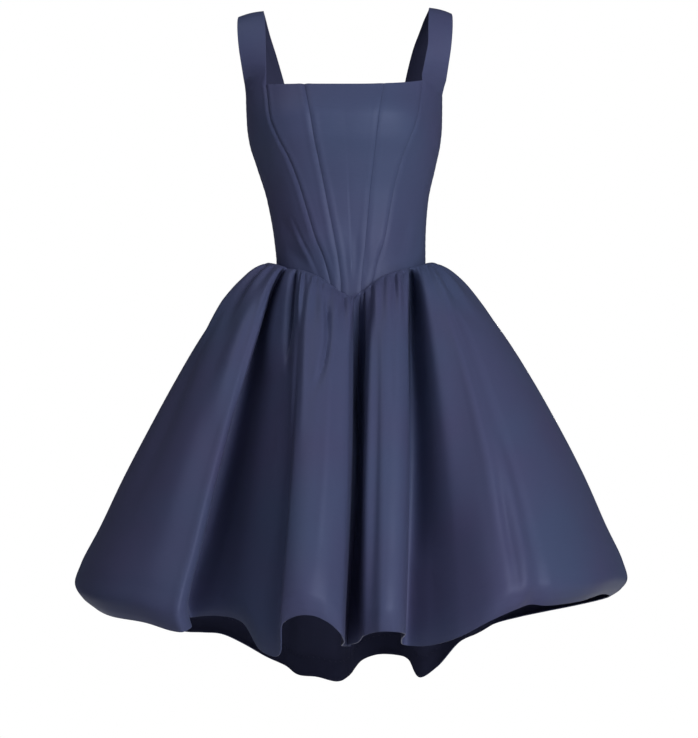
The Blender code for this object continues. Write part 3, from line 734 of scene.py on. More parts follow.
def seam_form(distance, along):
    """How the cloth lies near a seam: pressed in, then a little proud and puckered."""
    dip = -SEAM_DIP * bell(distance, SEAM_DIP_WIDTH)
    welt = SEAM_WELT * bell(np.abs(distance) - SEAM_WELT_PLACE, SEAM_WELT_WIDTH)
    drift = PUCKER_DRIFT * np.sin(along / (PUCKER_DRIFT_LENGTH * PUCKER_LENGTH))
    wave = np.sin(2 * math.pi * along / PUCKER_LENGTH + drift)
    return dip + welt + PUCKER_HEIGHT * wave * bell(distance, SEAM_WELT_PLACE)


def crease_form(across, along, crease_width, rise):
    """A soft trough or ridge, tapered at its ends; along runs from 0 to 1."""
    inside = np.clip(along, 0.0, 1.0)
    taper = np.sin(math.pi * inside) ** CREASE_TAPER * (along > 0) * (along < 1)
    return rise * taper * bell(across, crease_width)


def bodice_detail(angle, height, strength):
    """How far the finished cloth stands out from the bodice's plain surface."""
    radius = (half_width_at(height) + front_at(height)) / 2
    seam_share = np.where((angle > 0) & (angle < LEFT_SEAM_END), LEFT_SEAM_SHARE, 1.0)
    pucker_place = height + PUCKER_SHIFT * np.sign(angle)
    seams = (inner_seam_at(height), outer_seam_at(height), SIDE_SEAM, back_seam_at(height),
             CENTRE_BACK)
    out = np.zeros_like(angle + height)
    for seam in seams:
        distance = np.radians(np.abs(angle) - seam) * radius
        out = out + seam_share * seam_form(distance, pucker_place)
    for crease in BODICE_CREASES:
        start = np.array([math.radians(crease.angle) * WAIST_RADIUS, crease.height])
        end = np.array([math.radians(crease.to_angle) * WAIST_RADIUS, crease.to_height])
        run = end - start
        place_x = np.radians(angle) * WAIST_RADIUS - start[0]
        place_z = height - start[1]
        along = (place_x * run[0] + place_z * run[1]) / run.dot(run)
        across = (place_x * run[1] - place_z * run[0]) / np.linalg.norm(run)
        out = out + strength * crease_form(across, along, crease.width, crease.rise)
    spread = np.where(angle > 0, LEFT_BONE_SPREAD, RIGHT_BONE_SPREAD)
    ridge = bell(np.abs(angle) - outer_seam_at(height), spread) * (np.abs(angle) < SIDE_SEAM)
    rise = smooth_step((BONE_TOP - height) / BONE_EASE)
    rise = rise * smooth_step((height - BONE_FOOT) / BONE_EASE)
    return out + np.where(angle > 0, LEFT_BONE_RISE, RIGHT_BONE_RISE) * ridge * rise


# ------------------------------------------------------------------ pieces

def add_object(name, bm, *materials):
    """A new object in the scene with the finished mesh and its materials."""
    mesh = bpy.data.meshes.new(name)
    bm.to_mesh(mesh)
    bm.free()
    for material in materials:
        mesh.materials.append(material)
    made = bpy.data.objects.new(name, mesh)
    bpy.context.scene.collection.objects.link(made)
    return made


def sharp_edges(edges):
    """Those of the edges where two faces meet sharply."""
    return [edge for edge in edges if edge.calc_face_angle(0.0) > math.radians(SHARP_ANGLE)]


def round_edges(bm, edges, offset, segments):
    """Round edges over, and give back what the bevel made."""
    return bmesh.ops.bevel(bm, geom=edges, offset=offset, segments=segments, profile=0.5,
                           affect="EDGES", material=-1)


def finish_piece(piece, node, body=ROOT):
    """Hang the piece from its body, and hide the solid that it stands for."""
    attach(piece, body)
    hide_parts(node)


# ------------------------------------------------------------------ cloth pieces

def grid_normals(grid):
    """Unit normals of a grid of points, looking away from the upright axis."""
    across = np.gradient(grid, axis=1)
    down = np.gradient(grid, axis=0)
    normals = unit(np.cross(down, across))
    facing = (normals[..., :2] * grid[..., :2]).sum()
    return normals if facing > 0 else -normals


def grid_lengths(grid):
    """How far each point lies from its row's middle and down its column, in metres of cloth."""
    across = np.linalg.norm(np.diff(grid, axis=1), axis=2)
    down = np.linalg.norm(np.diff(grid, axis=0), axis=2)
    along = np.concatenate([np.zeros((grid.shape[0], 1)), np.cumsum(across, axis=1)], axis=1)
    along -= along[:, -1:] / 2
    deep = np.concatenate([np.zeros((1, grid.shape[1])), np.cumsum(down, axis=0)], axis=0)
    return along, deep


def grid_area(grid):
    """The area of the cloth between a grid's points, each square as two triangles."""
    first = np.cross(grid[:-1, 1:] - grid[:-1, :-1], grid[1:, :-1] - grid[:-1, :-1])
    second = np.cross(grid[:-1, 1:] - grid[1:, 1:], grid[1:, :-1] - grid[1:, 1:])
    return float((np.linalg.norm(first, axis=2) + np.linalg.norm(second, axis=2)).sum() / 2)


def turnings(grid, bottom, top=0.0):
    """Extra thickness where the cloth is doubled, along its sides, lower edge and top edge."""
    along, deep = grid_lengths(grid)
    reaches = [TURNING_WIDTH - (along[:, -1:] - np.abs(along)), bottom - (deep[-1:] - deep)]
    if top:
        reaches.append(top - deep)
    extra = np.zeros(along.shape)
    for reach in reaches:
        extra = np.maximum(extra, smooth_step(reach / TURNING_STEP))
    return extra * TURNING_THICKNESS


def join_at_seams(grid, overlap):
    """Push the end columns of a grid out by half the seam overlap."""
    first = unit(grid[:, 0] - grid[:, 1]) * overlap / 2
    last = unit(grid[:, -1] - grid[:, -2]) * overlap / 2
    grid[:, 0] += first
    grid[:, -1] += last
    return grid


def cloth_wall(name, grid, normals, thickness, materials):
    """A closed wall of cloth: a grid laid on the points, extruded to its wrong side."""
    rows, columns = grid.shape[:2]
    along, deep = grid_lengths(grid)
    bm = bmesh.new()
    bmesh.ops.create_grid(bm, x_segments=columns - 1, y_segments=rows - 1, size=1.0)
    inward = bm.verts.layers.float_vector.new("inward")
    cut = bm.loops.layers.uv.new("cut")
    places = {}
    for vert in bm.verts:
        column = round((vert.co.x + 1) / 2 * (columns - 1))
        row = round((vert.co.y + 1) / 2 * (rows - 1))
        vert.co = grid[row, column]
        vert[inward] = -normals[row, column] * thickness[row, column]
        places[vert] = (along[row, column], -deep[row, column])
    for face in bm.faces:
        for loop in face.loops:
            loop[cut].uv = places[loop.vert]
    bmesh.ops.recalc_face_normals(bm, faces=bm.faces[:])
    outside = bm.faces[:]
    middle = outside[len(outside) // 2]
    if middle.normal.dot(middle.verts[0][inward]) > 0:
        bmesh.ops.reverse_faces(bm, faces=outside)
    raised = bmesh.ops.extrude_face_region(bm, geom=outside, use_keep_orig=True)
    for item in raised["geom"]:
        if isinstance(item, bmesh.types.BMVert):
            item.co += item[inward]
        elif isinstance(item, bmesh.types.BMFace):
            item.material_index = 1
    bmesh.ops.recalc_face_normals(bm, faces=bm.faces[:])
    round_edges(bm, sharp_edges(bm.edges), RIM_ROUND, RIM_STEPS)
    bm.verts.layers.float_vector.remove(bm.verts.layers.float_vector["inward"])
    piece = add_object(name, bm, *materials)
    piece.data.shade_smooth()
    return piece


def declare_cloth(grid, rests_on):
    """Work out the lengths and the area of the cloth in the piece; nothing is kept of them."""
    along, deep = grid_lengths(grid)
    grid_area(grid)
    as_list(rests_on)


def add_cloth(panel, sizes):
    """The finished cloth of one panel, doubled where it is turned in."""
    bottom = HEM_TURN if panel.hem else TURNING_WIDTH
    top = TURNING_WIDTH if panel.neck else 0.0
    thickness = sizes.cloth + turnings(panel.grid, bottom, top)
    faces = (satin_face(), satin_wrong_side())
    piece = cloth_wall(panel.node + "_cloth", panel.grid, panel.normals, thickness, faces)
    finish_piece(piece, panel.node)
    declare_cloth(panel.grid, panel.hangs_from)


# ------------------------------------------------------------------ the bodice's panels

def width_round_body(start_seam, end_seam, height, radius):
    """How wide the cloth between two seams is at one height."""
    return abs(end_seam(height) - start_seam(height)) * math.radians(1) * radius


def panel_grid(start_seam, end_seam, top_at, sizes):
    """Points and normals of a bodice panel between two seams, from its top edge to the waist."""
    waist_width = width_round_body(start_seam, end_seam, WAIST_SIDE, WAIST_RADIUS)
    top_width = width_round_body(start_seam, end_seam, NECK_FRONT, CHEST_RADIUS)
    columns = max(FEWEST_COLUMNS, round(max(waist_width, top_width) / BODICE_COLUMN_STEP))
    share = np.linspace(0.0, 1.0, columns + 1)[None, :]
    down = np.linspace(0.0, 1.0, BODICE_ROWS + 1)[:, None]
    height = np.full((BODICE_ROWS + 1, columns + 1), WAIST_SIDE)
    for _ in range(SETTLE_ROUNDS):
        angle = start_seam(height) * (1 - share) + end_seam(height) * share
        height = top_at(angle, share) * (1 - down) + waist_heights(angle) * down
    normals = bodice_normals(angle, height)
    detail = bodice_detail(angle, height, sizes.creases)[..., None]
    return bodice_points(angle, height) + normals * detail, normals


def seamed_panel(side, low, high, top_at, sizes):
    """A panel on one side of the dress between two seams, ready to be joined at both."""
    grid, normals = panel_grid(
        lambda height: side * low(height), lambda height: side * high(height), top_at, sizes)
    return join_at_seams(grid, sizes.seam_overlap), normals


def front_top(angle, share):
    """The neck edge of the front: it dips in the middle and climbs to the left strap."""
    corner = FRONT_SEAMS[0].outer
    dip = NECK_DIP * np.cos(np.radians(angle) * 90.0 / corner)
    lift = np.clip((angle - LEFT_NECK_START) / (corner - LEFT_NECK_START), 0.0, 1.0)
    return NECK_FRONT - dip + LEFT_NECK_RISE * lift * lift


def back_top(angle, share):
    """The neck edge of the back, which is level."""
    return NECK_BACK + 0.0 * share


def strap_grid(stations, side, lean_at, columns):
    """Points of a strap, a row for each rung from its first station to its last."""
    inner = [(rung.inner_out, rung.inner_y, rung.inner_z) for rung in stations]
    outer = [(rung.outer_out, rung.outer_y, rung.outer_z) for rung in stations]
    inside = through_points(inner, STRAP_STEPS)[:, None, :]
    outside = through_points(outer, STRAP_STEPS)[:, None, :]
    share = np.linspace(0.0, 1.0, columns)[None, :, None]
    grid = inside * (1 - share) + outside * share
    bow = np.sin(math.pi * share[..., 0])
    if side > 0:
        grid[..., 0] += lean_at(grid[..., 2]) * (1 - share[..., 0])
        grid[..., 2] += LEFT_STRAP_RISE * np.clip(1 - grid[..., 2] / STRAP_ROOT, 0.0, 1.0)
    grid[..., 0] = STRAP_MIDDLE + side * (grid[..., 0] + STRAP_BOW_OUT * bow)
    grid[..., 2] += STRAP_BOW * bow
    return grid


def side_panel_grid(side, front, sizes):
    """A side panel and its half of the strap, from the shoulder seam down to the waist."""
    corner = NECK_FRONT if front else NECK_BACK
    if front and side > 0:
        corner += LEFT_NECK_RISE

    def top(angle, share):
        return corner + (UNDERARM - corner) * smooth_step(share)

    seam_at = outer_seam_at if front else back_seam_at
    panel, panel_normals = seamed_panel(side, seam_at, side_seam_at, top, sizes)
    stations = STRAP_FRONT if front else STRAP_BACK[::-1]
    lean_at = front_lean_at if front else back_lean_at
    strap = strap_grid(stations, side, lean_at, panel.shape[1])[::-1]
    whole = np.vstack([strap, panel])
    normals = grid_normals(whole)
    ease = smooth_step(np.arange(len(panel)) / EASE_ROWS)[:, None, None]
    normals[len(strap):] = unit(normals[len(strap):] * (1 - ease) + panel_normals * ease)
    normals[0, :, 1] = 0.0
    normals[0] = unit(normals[0])
    whole[0, :, 1] += sizes.seam_overlap / 2 if front else -sizes.seam_overlap / 2
    return whole, normals


def bodice_panels(sizes):
    """Each panel of the bodice in turn, the side panels with their halves of the straps."""
    grid, normals = seamed_panel(
        1, lambda height: -inner_seam_at(height), inner_seam_at, front_top, sizes)
    yield Panel("front_centre", grid, normals, ["front_left", "front_right"], neck=True)
    for side, suffix in SIDES:
        grid, normals = seamed_panel(side, inner_seam_at, outer_seam_at, front_top, sizes)
        yield Panel("front_" + suffix, grid, normals, ["side_front_" + suffix], neck=True)
        grid, normals = seamed_panel(side, back_seam_at, centre_seam_at, back_top, sizes)
        yield Panel("back_" + suffix, grid, normals, ["side_back_" + suffix], neck=True)
        for front, node in ((True, "side_front_"), (False, "side_back_")):
            grid, normals = side_panel_grid(side, front, sizes)
            strap_rows = len(grid) - BODICE_ROWS - 1
            yield Panel(node + suffix, grid, normals, [], strap_rows=strap_rows)


# ------------------------------------------------------------------ the skirt's panels

def tuck_share(drop):
    """How much of a tuck's depth shows at a drop: it opens under the waist and runs out."""
    if drop <= 0 or drop >= TUCK_END:
        return 0.0
    if drop < TUCK_PEAK:
        return math.sin(math.pi / 2 * drop / TUCK_PEAK)
    return math.cos(math.pi / 2 * (drop - TUCK_PEAK) / (TUCK_END - TUCK_PEAK)) ** 2


def seam_points(waist, cloth):
    """Where the skirt's cloth leaves the waist seam, behind the bodice's lower edge."""
    angle = half_turn(waist)
    height = waist_heights(angle)
    points = bodice_points(angle, height) - bodice_normals(angle, height) * cloth
    points[..., 2] -= WAIST_TUCK_UNDER
    return points


def fold_line_points(folds, drop, reach, cloth):
    """Every fold line at one station on its way from the waist seam to the hem."""
    waist = np.array([fold.waist for fold in folds])
    start = seam_points(waist, cloth)
    hem = np.array([(fold.hem_x, fold.hem_y, fold.hem_z) for fold in folds])
    tuck = np.array([fold.tuck for fold in folds])
    share = np.full(len(folds), float(reach))
    if drop > HEM_CURL_START:
        curl = HEM_CURL_FRONT + (1 - HEM_CURL_FRONT) * (hem[:, 0] / FRONT_FOLDS[-1].hem_x) ** 2
        share = 1 - (1 - share) * curl
    points = start + (hem - start) * share[:, None]
    points[:, 2] = start[:, 2] + (hem[:, 2] - start[:, 2]) * drop
    points[:, 0] += SKIRT_SWAY * math.sin(math.pi * max(drop, 0.0))
    points[:, 1] -= np.sign(hem[:, 1]) * tuck * tuck_share(drop)
    return points, start


def gather_share(drop, end):
    """How much of a gather stands out at a drop: most near the waist, none at its end."""
    return np.sin(math.pi * np.sqrt(np.clip(drop / end, 0.0, 1.0)))


def slit_share(drop, length):
    """How deep a slit is at a drop: deepest just under the seam, run out at its length."""
    part = np.clip(drop / length, 0.0, 1.0)
    return smooth_step(part / SLIT_MOUTH) * (1 - smooth_step(part))


def gather_slits():
    """The slits named for the front, and as many as are drawn for the back."""
    chance = random.Random(SLIT_SEED)
    slits = list(GATHER_SLITS)
    for step in range(BACK_SLITS.count):
        shift = chance.uniform(-BACK_SLITS.jitter, BACK_SLITS.jitter)
        slits.append(GatherSlit(
            SIDE_SEAM + 180.0 * (step + 0.5 + shift) / BACK_SLITS.count,
            chance.uniform(*BACK_SLITS.length),
            chance.uniform(*BACK_SLITS.width),
            chance.uniform(*BACK_SLITS.depth),
        ))
    return slits


def fine_gathers():
    """Each fine gather's place on the waist seam, width, length and height."""
    chance = random.Random(GATHER_SEED)
    gathers = []
    place = -180.0
    while place < 180.0:
        gathers.append((
            place + chance.uniform(-1, 1) * FINE_GATHERS.jitter / 2,
            chance.uniform(*FINE_GATHERS.width),
            chance.uniform(*FINE_GATHERS.length),
            chance.uniform(*FINE_GATHERS.height),
        ))
        place += FINE_GATHERS.spacing + chance.uniform(-1, 1) * FINE_GATHERS.jitter
    return gathers


def skirt_detail(waist, drop, sizes):
    """How far the finished cloth stands out from the fold lines' plain surface."""
    wave = np.cos(2 * math.pi * waist / GATHER_SPACING)
    out = GATHER_HEIGHT * gather_share(drop, GATHER_END) * wave
    turned = half_turn(waist)
    for place, width, length, height in fine_gathers():
        spread = width * (1 + GATHER_FAN * drop / length)
        rise = sizes.gathers * height * gather_share(drop, length)
        out = out + rise * bell(half_turn(turned - place), spread)
    for slit in gather_slits():
        spread = slit.width * (1 + SLIT_FAN * np.clip(drop, 0.0, 1.0) / slit.length)
        depth = sizes.gathers * slit.depth * slit_share(drop, slit.length)
        out = out - depth * bell(half_turn(waist - slit.waist), spread)
    for crease in SKIRT_CREASES:
        along = (drop - crease.drop) / (crease.to_drop - crease.drop)
        inside = np.clip(along, 0.0, 1.0)
        middle = crease.waist + (crease.to_waist - crease.waist) * inside
        middle = middle + crease.bow * 4 * inside * (1 - inside)
        form = crease_form(half_turn(waist - middle), along, crease.width, crease.rise)
        out = out + sizes.creases * form
    return out


def skirt_grid(sizes):
    """Points, normals and fold lines of the whole skirt, a column for each waist angle."""
    first = FRONT_FOLDS[0]
    closing = first._replace(waist=first.waist + 360.0)
    before = BACK_FOLDS[-1]._replace(waist=BACK_FOLDS[-1].waist - 360.0)
    after = FRONT_FOLDS[1]._replace(waist=FRONT_FOLDS[1].waist + 360.0)
    folds = [before, *FRONT_FOLDS, *BACK_FOLDS, closing, after]
    waists = np.array([fold.waist for fold in folds])
    parts = np.arange((len(folds) - 1) * SKIRT_SAMPLES + 1) / SKIRT_SAMPLES
    waist = np.interp(parts, np.arange(len(folds)), waists)

    places = np.arange(len(SKIRT_STATIONS), dtype=float)
    drop_at = smooth_curve(places, [station.drop for station in SKIRT_STATIONS])
    reach_at = smooth_curve(places, [station.reach for station in SKIRT_STATIONS])
    steps = np.linspace(0.0, places[-1], SKIRT_ROWS + 1)
    rows = []
    drops = []
    for step in steps:
        drop = float(drop_at(step))
        points, start = fold_line_points(folds, drop, float(reach_at(step)), sizes.cloth)
        curve = through_points(np.hstack([points, start]), SKIRT_SAMPLES)
        rows.append(seam_points(waist, sizes.cloth) + curve[:, :3] - curve[:, 3:])
        drops.append(drop)
    plain = np.array(rows)
    drops = np.array(drops)[:, None]
    lean = CREASE_LEAN * smooth_step((LEAN_END - np.abs(waist)) / (LEAN_END - LEAN_START))
    ways = unit(grid_normals(plain) + lean[None, :, None] * np.array([0.0, -1.0, 0.0]))
    grid = plain + ways * skirt_detail(waist[None, :], drops, sizes)[..., None]
    return grid, grid_normals(grid), folds


def skirt_panels(sizes):
    """The front of the skirt, then its two backs."""
    whole, normals, folds = skirt_grid(sizes)
    waists = [fold.waist for fold in folds]
    for piece in SKIRT_PIECES:
        first = waists.index(piece.start) * SKIRT_SAMPLES
        last = waists.index(piece.end) * SKIRT_SAMPLES
        columns = slice(first, last + 1)
        grid = join_at_seams(whole[:, columns].copy(), sizes.seam_overlap)
        yield Panel(piece.node, grid, normals[:, columns], piece.hangs_from, hem=True)


# ------------------------------------------------------------------ lines, threads and metal

def wrong_side(grid, normals, cloth):
    """The inner face of doubled cloth, as a grid of its points and their inward directions."""
    return np.concatenate([grid - normals * (cloth + TURNING_THICKNESS), -normals], axis=2)


def line_across(face, distance, from_start=True):
    """The line down a face that lies at a distance in from one of its side edges."""
    rows = face if from_start else face[:, ::-1]
    line = []
    for row in rows:
        run = run_along(row[:, :3])
        line.append([np.interp(distance, run, row[:, axis]) for axis in range(6)])
    return np.array(line)


def spaced(line, pitch):
    """Evenly spaced places along a line, each with its inward direction and the line's own way."""
    run = run_along(line[:, :3])
    whole = np.hstack([line, np.gradient(line[:, :3], axis=0)])
    at = np.arange(pitch / 2, run[-1], pitch)
    return np.stack([np.interp(at, run, whole[:, axis]) for axis in range(9)], axis=1)


def add_beads(bm, places, size, slant=0.0, shift=0.0, lift=0.0):
    """A small rounded grain at each place: its size is across the line, off the cloth and along."""
    beads = [bmesh.ops.create_icosphere(bm, subdivisions=1, radius=0.5)["verts"]]
    plain = np.array([vert.co for vert in beads[0]]) * size
    while len(beads) < len(places):
        batch = beads[:len(places) - len(beads)]
        verts = [vert for bead in batch for vert in bead]
        faces = list({face for vert in verts for face in vert.link_faces})
        copied = bmesh.ops.duplicate(bm, geom=verts + faces)["vert_map"]
        beads += [[copied[vert] for vert in bead] for bead in batch]
    way = unit(places[:, 6:9])
    off = unit(places[:, 3:6])
    across = unit(np.cross(way, off))
    way = unit(way + across * slant)
    middle = places[:, :3] + across * shift + off * lift
    turned = np.stack([unit(np.cross(way, off)), off, way], axis=1)
    spots = np.einsum("vi,pij->pvj", plain, turned) + middle[:, None]
    for bead, spot in zip(beads, spots):
        for vert, place in zip(bead, spot):
            vert.co = place


def add_stitches(bm, line, stitch):
    """A row of stitches along a line on the wrong side."""
    size = (stitch.thickness, stitch.thickness, stitch.length)
    add_beads(bm, spaced(line, stitch.pitch), size, stitch.slant, lift=THREAD_LIFT)


def crisp_piece(name, bm, material):
    """A finished piece that is shaded smooth but for its sharp edges."""
    bmesh.ops.recalc_face_normals(bm, faces=bm.faces[:])
    piece = add_object(name, bm, material)
    piece.data.shade_smooth()
    piece.data.set_sharp_from_angle(angle=math.radians(CRISP_ANGLE))
    return piece


def add_block(bm, middle, size, corner, along):
    """A block with the corners that run along one axis rounded, then all its rims eased."""
    verts = bmesh.ops.create_cube(bm, size=1.0)["verts"]
    bmesh.ops.scale(bm, vec=size, verts=verts)
    bmesh.ops.translate(bm, vec=middle, verts=verts)
    corners = [edge for edge in {edge for vert in verts for edge in vert.link_edges}
               if abs(edge.verts[0].co[along] - edge.verts[1].co[along]) > size[along] / 2]
    rounded = round_edges(bm, corners, corner, CORNER_STEPS)
    faces = {face for vert in rounded["verts"] for face in vert.link_faces}
    rims = sharp_edges({edge for face in faces for edge in face.edges})
    round_edges(bm, rims, METAL_ROUND, RIM_STEPS)


def back_zip_strips(sizes):
    """The wrong side of both halves of the centre back, from the neck to the foot of the zip."""
    whole, normals, folds = skirt_grid(sizes)
    centre = [fold.waist for fold in folds].index(CENTRE_BACK) * SKIRT_SAMPLES
    steps = np.linspace(TAPE_START, TAPE_WIDTH, TAPE_COLUMNS)
    strips = []
    for side, _ in SIDES:
        grid, turned = seamed_panel(side, back_seam_at, centre_seam_at, back_top, sizes)
        upper = wrong_side(grid[:, ::-1], turned[:, ::-1], sizes.cloth)
        columns = slice(centre, centre - side * TAPE_FOLDS * SKIRT_SAMPLES, -side)
        lower = wrong_side(whole[:, columns], normals[:, columns], sizes.cloth)
        lower = lower[lower[:, 0, 2] > TAPE_FOOT][TUCKED_ROWS:]
        lines = [np.vstack([line_across(upper, step), line_across(lower, step)]) for step in steps]
        strips.append(np.stack(lines, axis=1))
    return strips


def pull_outline(angle):
    """How far across and down the pull tab's edge lies at a turn from the middle of its top."""
    down = (1 - math.cos(angle)) / 2
    width = PULL_TOP_WIDTH + (PULL_LOW_WIDTH - PULL_TOP_WIDTH) * down
    side = math.copysign(abs(math.sin(angle)) ** PULL_SQUARENESS, math.sin(angle))
    return width / 2 * side, PULL_BAR / 2 - PULL_LENGTH * down


def slot_outline(angle):
    """The same for the edge of the tab's slot, which has straight sides and square corners."""
    side = max(-1.0, min(1.0, SLOT_SQUARENESS * math.sin(angle)))
    down = max(0.0, min(1.0, (1 - SLOT_SQUARENESS * math.cos(angle)) / 2))
    return PULL_HOLE_WIDTH / 2 * side, -PULL_BAR / 2 - PULL_HOLE_LENGTH * down


def add_loop(bm, outline, middle, depth):
    """A closed loop of edges along an outline, on a plane that faces back."""
    loop = bmesh.ops.create_circle(bm, cap_ends=False, radius=1.0, segments=PULL_SIDES)["verts"]
    for index, vert in enumerate(loop):
        across, up = outline(2 * math.pi * (index + 0.5) / PULL_SIDES)
        vert.co = middle + Vector((across, depth, up))
    return {edge for vert in loop for edge in vert.link_edges}


# ------------------------------------------------------------------ materials

# The colour sockets of a mix node, which share their names with its number sockets
MIX_A = 6
MIX_B = 7
MIX_RESULT = 2


def set_inputs(node, values):
    """Give a node's inputs their values; an underscore in a name stands for a space."""
    for name, value in values.items():
        node.inputs[name.replace("_", " ")].default_value = value


def add_node(tree, kind, label="", **inputs):
    """A new node in a tree, with its label and values for its inputs."""
    node = tree.nodes.new(kind)
    node.label = label
    set_inputs(node, inputs)
    return node


def start_group(name, inputs, outputs):
    """A new node group with its sockets, and the nodes where they come in and go out."""
    group = bpy.data.node_groups.new(name, "ShaderNodeTree")
    for socket, kind, default in inputs:
        item = group.interface.new_socket(name=socket, in_out="INPUT", socket_type=kind)
        item.default_value = default
    for socket, kind in outputs:
        group.interface.new_socket(name=socket, in_out="OUTPUT", socket_type=kind)
    return group, group.nodes.new("NodeGroupInput"), group.nodes.new("NodeGroupOutput")


def use_group(tree, group, **inputs):
    """A node in a tree that stands for a group, with values for the group's inputs."""
    node = tree.nodes.new("ShaderNodeGroup")
    node.node_tree = group
    set_inputs(node, inputs)
    return node


def start_material(name):
    """A new material with its node tree and its shader."""
    material = bpy.data.materials.new(name)
    material.use_nodes = True
    return material, material.node_tree, material.node_tree.nodes["Principled BSDF"]


def weave_group():
    """Satin weave from the cut's own measure: long floats across, in staggered rows."""
    name = "satin weave"
    if name in bpy.data.node_groups:
        return bpy.data.node_groups[name]
    group, start, end = start_group(
        name,
        (("Threads per metre", "NodeSocketFloat", 2400.0), ("Slub", "NodeSocketFloat", 0.35)),
        (("Height", "NodeSocketFloat"), ("Shade", "NodeSocketFloat")))
    links = group.links
    place = add_node(group, "ShaderNodeUVMap", "cut")
    place.uv_map = "cut"
    scaled = add_node(group, "ShaderNodeVectorMath", "threads")
    scaled.operation = "SCALE"
    links.new(place.outputs["UV"], scaled.inputs[0])
    links.new(start.outputs["Threads per metre"], scaled.inputs["Scale"])
    stretched = add_node(group, "ShaderNodeMapping", "long floats", Scale=(0.22, 1.0, 1.0))
    links.new(scaled.outputs["Vector"], stretched.inputs["Vector"])
    floats = add_node(group, "ShaderNodeTexVoronoi", "floats", Scale=1.0, Randomness=0.55)
    links.new(stretched.outputs["Vector"], floats.inputs["Vector"])
    slubs = add_node(
        group, "ShaderNodeTexNoise", "slubs", Scale=0.16, Detail=3.0, Roughness=0.55)
    links.new(stretched.outputs["Vector"], slubs.inputs["Vector"])
    mixed = add_node(group, "ShaderNodeMix", "height")
    links.new(start.outputs["Slub"], mixed.inputs["Factor"])
    links.new(floats.outputs["Distance"], mixed.inputs["A"])
    links.new(slubs.outputs["Fac"], mixed.inputs["B"])
    links.new(mixed.outputs["Result"], end.inputs["Height"])
    links.new(slubs.outputs["Fac"], end.inputs["Shade"])
    return group


def cast_group():
    """A slow drift between two casts of one colour, as shot satin shows over a whole dress."""
    name = "satin cast"
    if name in bpy.data.node_groups:
        return bpy.data.node_groups[name]
    group, start, end = start_group(
        name,
        (("Colour", "NodeSocketColor", (0.05, 0.06, 0.14, 1.0)),
         ("Cast", "NodeSocketColor", (0.06, 0.055, 0.13, 1.0)),
         ("Drift size", "NodeSocketFloat", 5.0)),
        (("Colour", "NodeSocketColor"), ("Drift", "NodeSocketFloat")))
    links = group.links
    place = group.nodes.new("ShaderNodeTexCoord")
    drift = add_node(group, "ShaderNodeTexNoise", "drift", Detail=2.0, Roughness=0.45)
    links.new(place.outputs["Object"], drift.inputs["Vector"])
    links.new(start.outputs["Drift size"], drift.inputs["Scale"])
    spread = add_node(group, "ShaderNodeMapRange", "spread", From_Min=0.35, From_Max=0.65)
    links.new(drift.outputs["Fac"], spread.inputs["Value"])
    mixed = add_node(group, "ShaderNodeMix", "cast")
    mixed.data_type = "RGBA"
    links.new(spread.outputs["Result"], mixed.inputs["Factor"])
    links.new(start.outputs["Colour"], mixed.inputs[MIX_A])
    links.new(start.outputs["Cast"], mixed.inputs[MIX_B])
    links.new(mixed.outputs[MIX_RESULT], end.inputs["Colour"])
    links.new(spread.outputs["Result"], end.inputs["Drift"])
    return group


def cloth_material(name, colour, cast, roughness, gloss, sheen, bump, threads):
    """A woven cloth: the two casts, the weave's bump and a roughness that follows its slubs."""
    if name in bpy.data.materials:
        return bpy.data.materials[name]
    material, tree, shader = start_material(name)
    links = tree.links
    shader.inputs["Sheen Weight"].default_value = sheen
    shader.inputs["Sheen Roughness"].default_value = 0.5
    shader.inputs["Sheen Tint"].default_value = (0.55, 0.60, 0.90, 1.0)
    shader.inputs["Specular IOR Level"].default_value = gloss
    shader.inputs["Specular Tint"].default_value = (0.62, 0.70, 1.0, 1.0)
    tint = use_group(tree, cast_group(), Colour=(*colour, 1.0), Cast=(*cast, 1.0))
    weave = use_group(tree, weave_group(), Threads_per_metre=threads)
    shade = add_node(tree, "ShaderNodeMapRange", "slub shade", To_Min=0.93, To_Max=1.07)
    links.new(weave.outputs["Shade"], shade.inputs["Value"])
    tone = add_node(tree, "ShaderNodeVectorMath", "slub tone")
    tone.operation = "SCALE"
    links.new(tint.outputs["Colour"], tone.inputs[0])
    links.new(shade.outputs["Result"], tone.inputs["Scale"])
    links.new(tone.outputs["Vector"], shader.inputs["Base Color"])
    rough = add_node(
        tree, "ShaderNodeMapRange", "roughness", To_Min=roughness - 0.03, To_Max=roughness + 0.05)
    links.new(weave.outputs["Shade"], rough.inputs["Value"])
    links.new(rough.outputs["Result"], shader.inputs["Roughness"])
    relief = add_node(tree, "ShaderNodeBump", "weave", Strength=bump, Distance=0.0002)
    links.new(weave.outputs["Height"], relief.inputs["Height"])
    links.new(relief.outputs["Normal"], shader.inputs["Normal"])
    return material


def satin_face():
    """The glossy face of the satin, with its shot colour."""
    colours = bpy.context.scene.dress_colours
    return cloth_material(
        "satin_face", colours.satin, colours.shot,
        roughness=0.46, gloss=0.20, sheen=0.03, bump=0.16, threads=2400.0)


def satin_wrong_side():
    """The dull inside of the satin."""
    colours = bpy.context.scene.dress_colours
    return cloth_material(
        "satin_wrong_side", colours.wrong_side, colours.wrong_side,
        roughness=0.75, gloss=0.05, sheen=0.0, bump=0.22, threads=2000.0)


def zip_tape():
    """The coarser weave of the zip's tapes."""
    colours = bpy.context.scene.dress_colours
    return cloth_material(
        "zip_tape", colours.wrong_side, colours.shot,
        roughness=0.80, gloss=0.05, sheen=0.0, bump=0.50, threads=1500.0)


